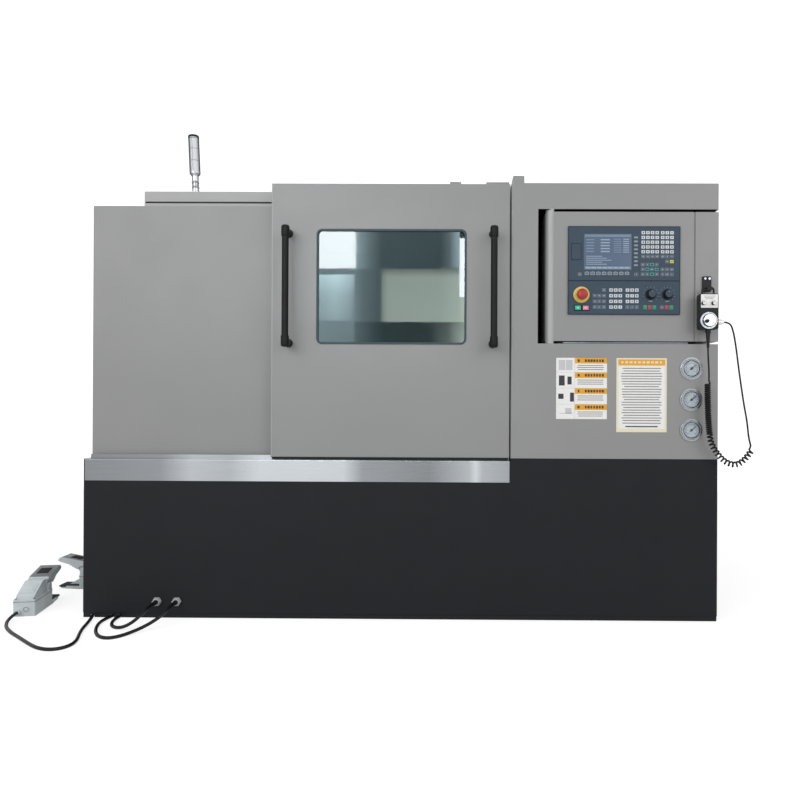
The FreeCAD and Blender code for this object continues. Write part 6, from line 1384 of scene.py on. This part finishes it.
def mirror_card(name, across, down, strengths, fade, material, behind):
    """A card behind the camera that the door's pane mirrors between pixels of the photograph.

    It has a strength at each place across, and fades to a share of that towards its lower edge.
    """
    pane_y = glass_low.y
    card_y = CAMERA_PLACE.y - behind
    reach = (pane_y - card_y) / (pane_y - CAMERA_PLACE.y) + 1
    scale = (pane_y - CAMERA_PLACE.y) / FOCAL_PX * reach
    xs = [CAMERA_PLACE.x + (px - CENTRE_PX - YAW_PX) * scale for px in across]
    zs = [CAMERA_PLACE.z + (PHOTO_PX / 2 + PITCH_PX - px) * scale for px in down]
    mesh = mesh_from(name, [(x, card_y, z) for x in xs for z in zs],
                     [(2 * k, 2 * k + 2, 2 * k + 3, 2 * k + 1) for k in range(len(xs) - 1)])
    glow = mesh.attributes.new("glow", "FLOAT", "POINT")
    glow.data.foreach_set("value", [strength * share for strength in strengths for share in (1.0, fade)])
    mesh.materials.append(material)
    card = put(name, mesh)
    card.visible_camera = False
    card.visible_diffuse = False
    card.visible_shadow = False
    card.visible_transmission = False


FLAG_ACROSS, FLAG_DOWN = (300, 482), (214, 360)        # pixels of the photograph that the dark flag fills
CARDS_BEHIND, FLAG_BEHIND = 0.4, 0.45                   # metres behind the camera

# What the door's pane mirrors: pixels across and down in the photograph, how bright at each place across,
# and the share of that at the lower edge.
SKY_CARDS = (((317, 355), (229, 268.6), (23.0, 24.0), 0.96),
             ((459, 467), (238, 297), (23.0, 25.0), 1.0))
HAZE_CARDS = (((317, 355), (268.6, 274.8), (4.4, 4.0), 1.0),
              ((317, 335, 349, 354), (274.8, 295), (14.0, 17.0, 13.0, 9.0), 0.66),
              ((317, 335, 349, 354), (295, 321), (9.2, 11.2, 8.6, 5.9), 0.74),
              ((317, 354), (321, 345), (5.2, 4.6), 0.9),
              ((355, 360, 370, 381, 440, 449, 459), (229, 269), (8.0, 5.6, 3.0, 1.3, 1.0, 2.6, 9.0), 0.9),
              ((354, 362, 378, 381), (269, 322), (4.4, 2.8, 1.6, 2.2), 1.0),
              ((354, 372, 385), (322, 345), (2.4, 0.9, 0.3), 1.0))
WALL_CARDS = (((381, 387, 440, 459), (267, 277), (0.9, 1.5, 1.6, 1.9), 4.2),
              ((381, 387, 440, 459), (277, 322), (3.8, 6.4, 6.8, 8.2), 1.08),
              ((459, 467), (297, 322), (9.4, 11.0), 1.0),
              ((385, 430, 448, 467), (322, 345), (0.3, 0.3, 1.8, 7.0), 1.3))


def studio():
    """Ground, lights, and the cards that the pane mirrors with a dark flag behind them."""
    studio_world()
    ground()
    soft_box("key_box", (-2.6, -4.6, 2.7), (0, -0.7, 0.9), 3.2, 2.4, 60)
    soft_box("fill_box", (3.2, -4.4, 2.6), (0, -0.7, 0.8), 2.6, 2.6, 42)
    soft_box("back_box", (0, 3.2, 5.4), (0, 0.7, 1.0), 3.6, 1.6, 34)
    sky = card_glow("mirrored_sky", (0.92, 1.0, 1.03, 1))
    haze = card_glow("mirrored_haze", (0.74, 1.0, 1.07, 1))
    wall = card_glow("mirrored_wall", (0.88, 1.06, 0.93, 1))
    mirror_card("dark_flag", FLAG_ACROSS, FLAG_DOWN, (0.08, 0.08), 1.0, sky, FLAG_BEHIND)
    for title, cards, material in (("sky", SKY_CARDS, sky), ("haze", HAZE_CARDS, haze),
                                   ("wall", WALL_CARDS, wall)):
        for k, (across, down, strengths, fade) in enumerate(cards):
            mirror_card("mirrored_%s_%d" % (title, k), across, down, strengths, fade, material, CARDS_BEHIND)


# ---------------------------------------------------------------- build
view = bpy.context.scene.view_settings
view.view_transform = "Standard"
dress_frame()
make_camera()
studio()
pedal_cords()
pendant_cord()
door_handles()
door_trim()
recess_liner()
recess_sill()
base_skirt()
box_corner()
gauge_dials()
info_plates()
panel_keys()
display_fields()
panel_frame()
knob_dials()
push_marks()
pendant_trim()
wheel_scale()
lamp_trim()
gland_nuts()
louvres()
back_screws()
chuck_screws()
turret_screws()
foot_switch_trim()
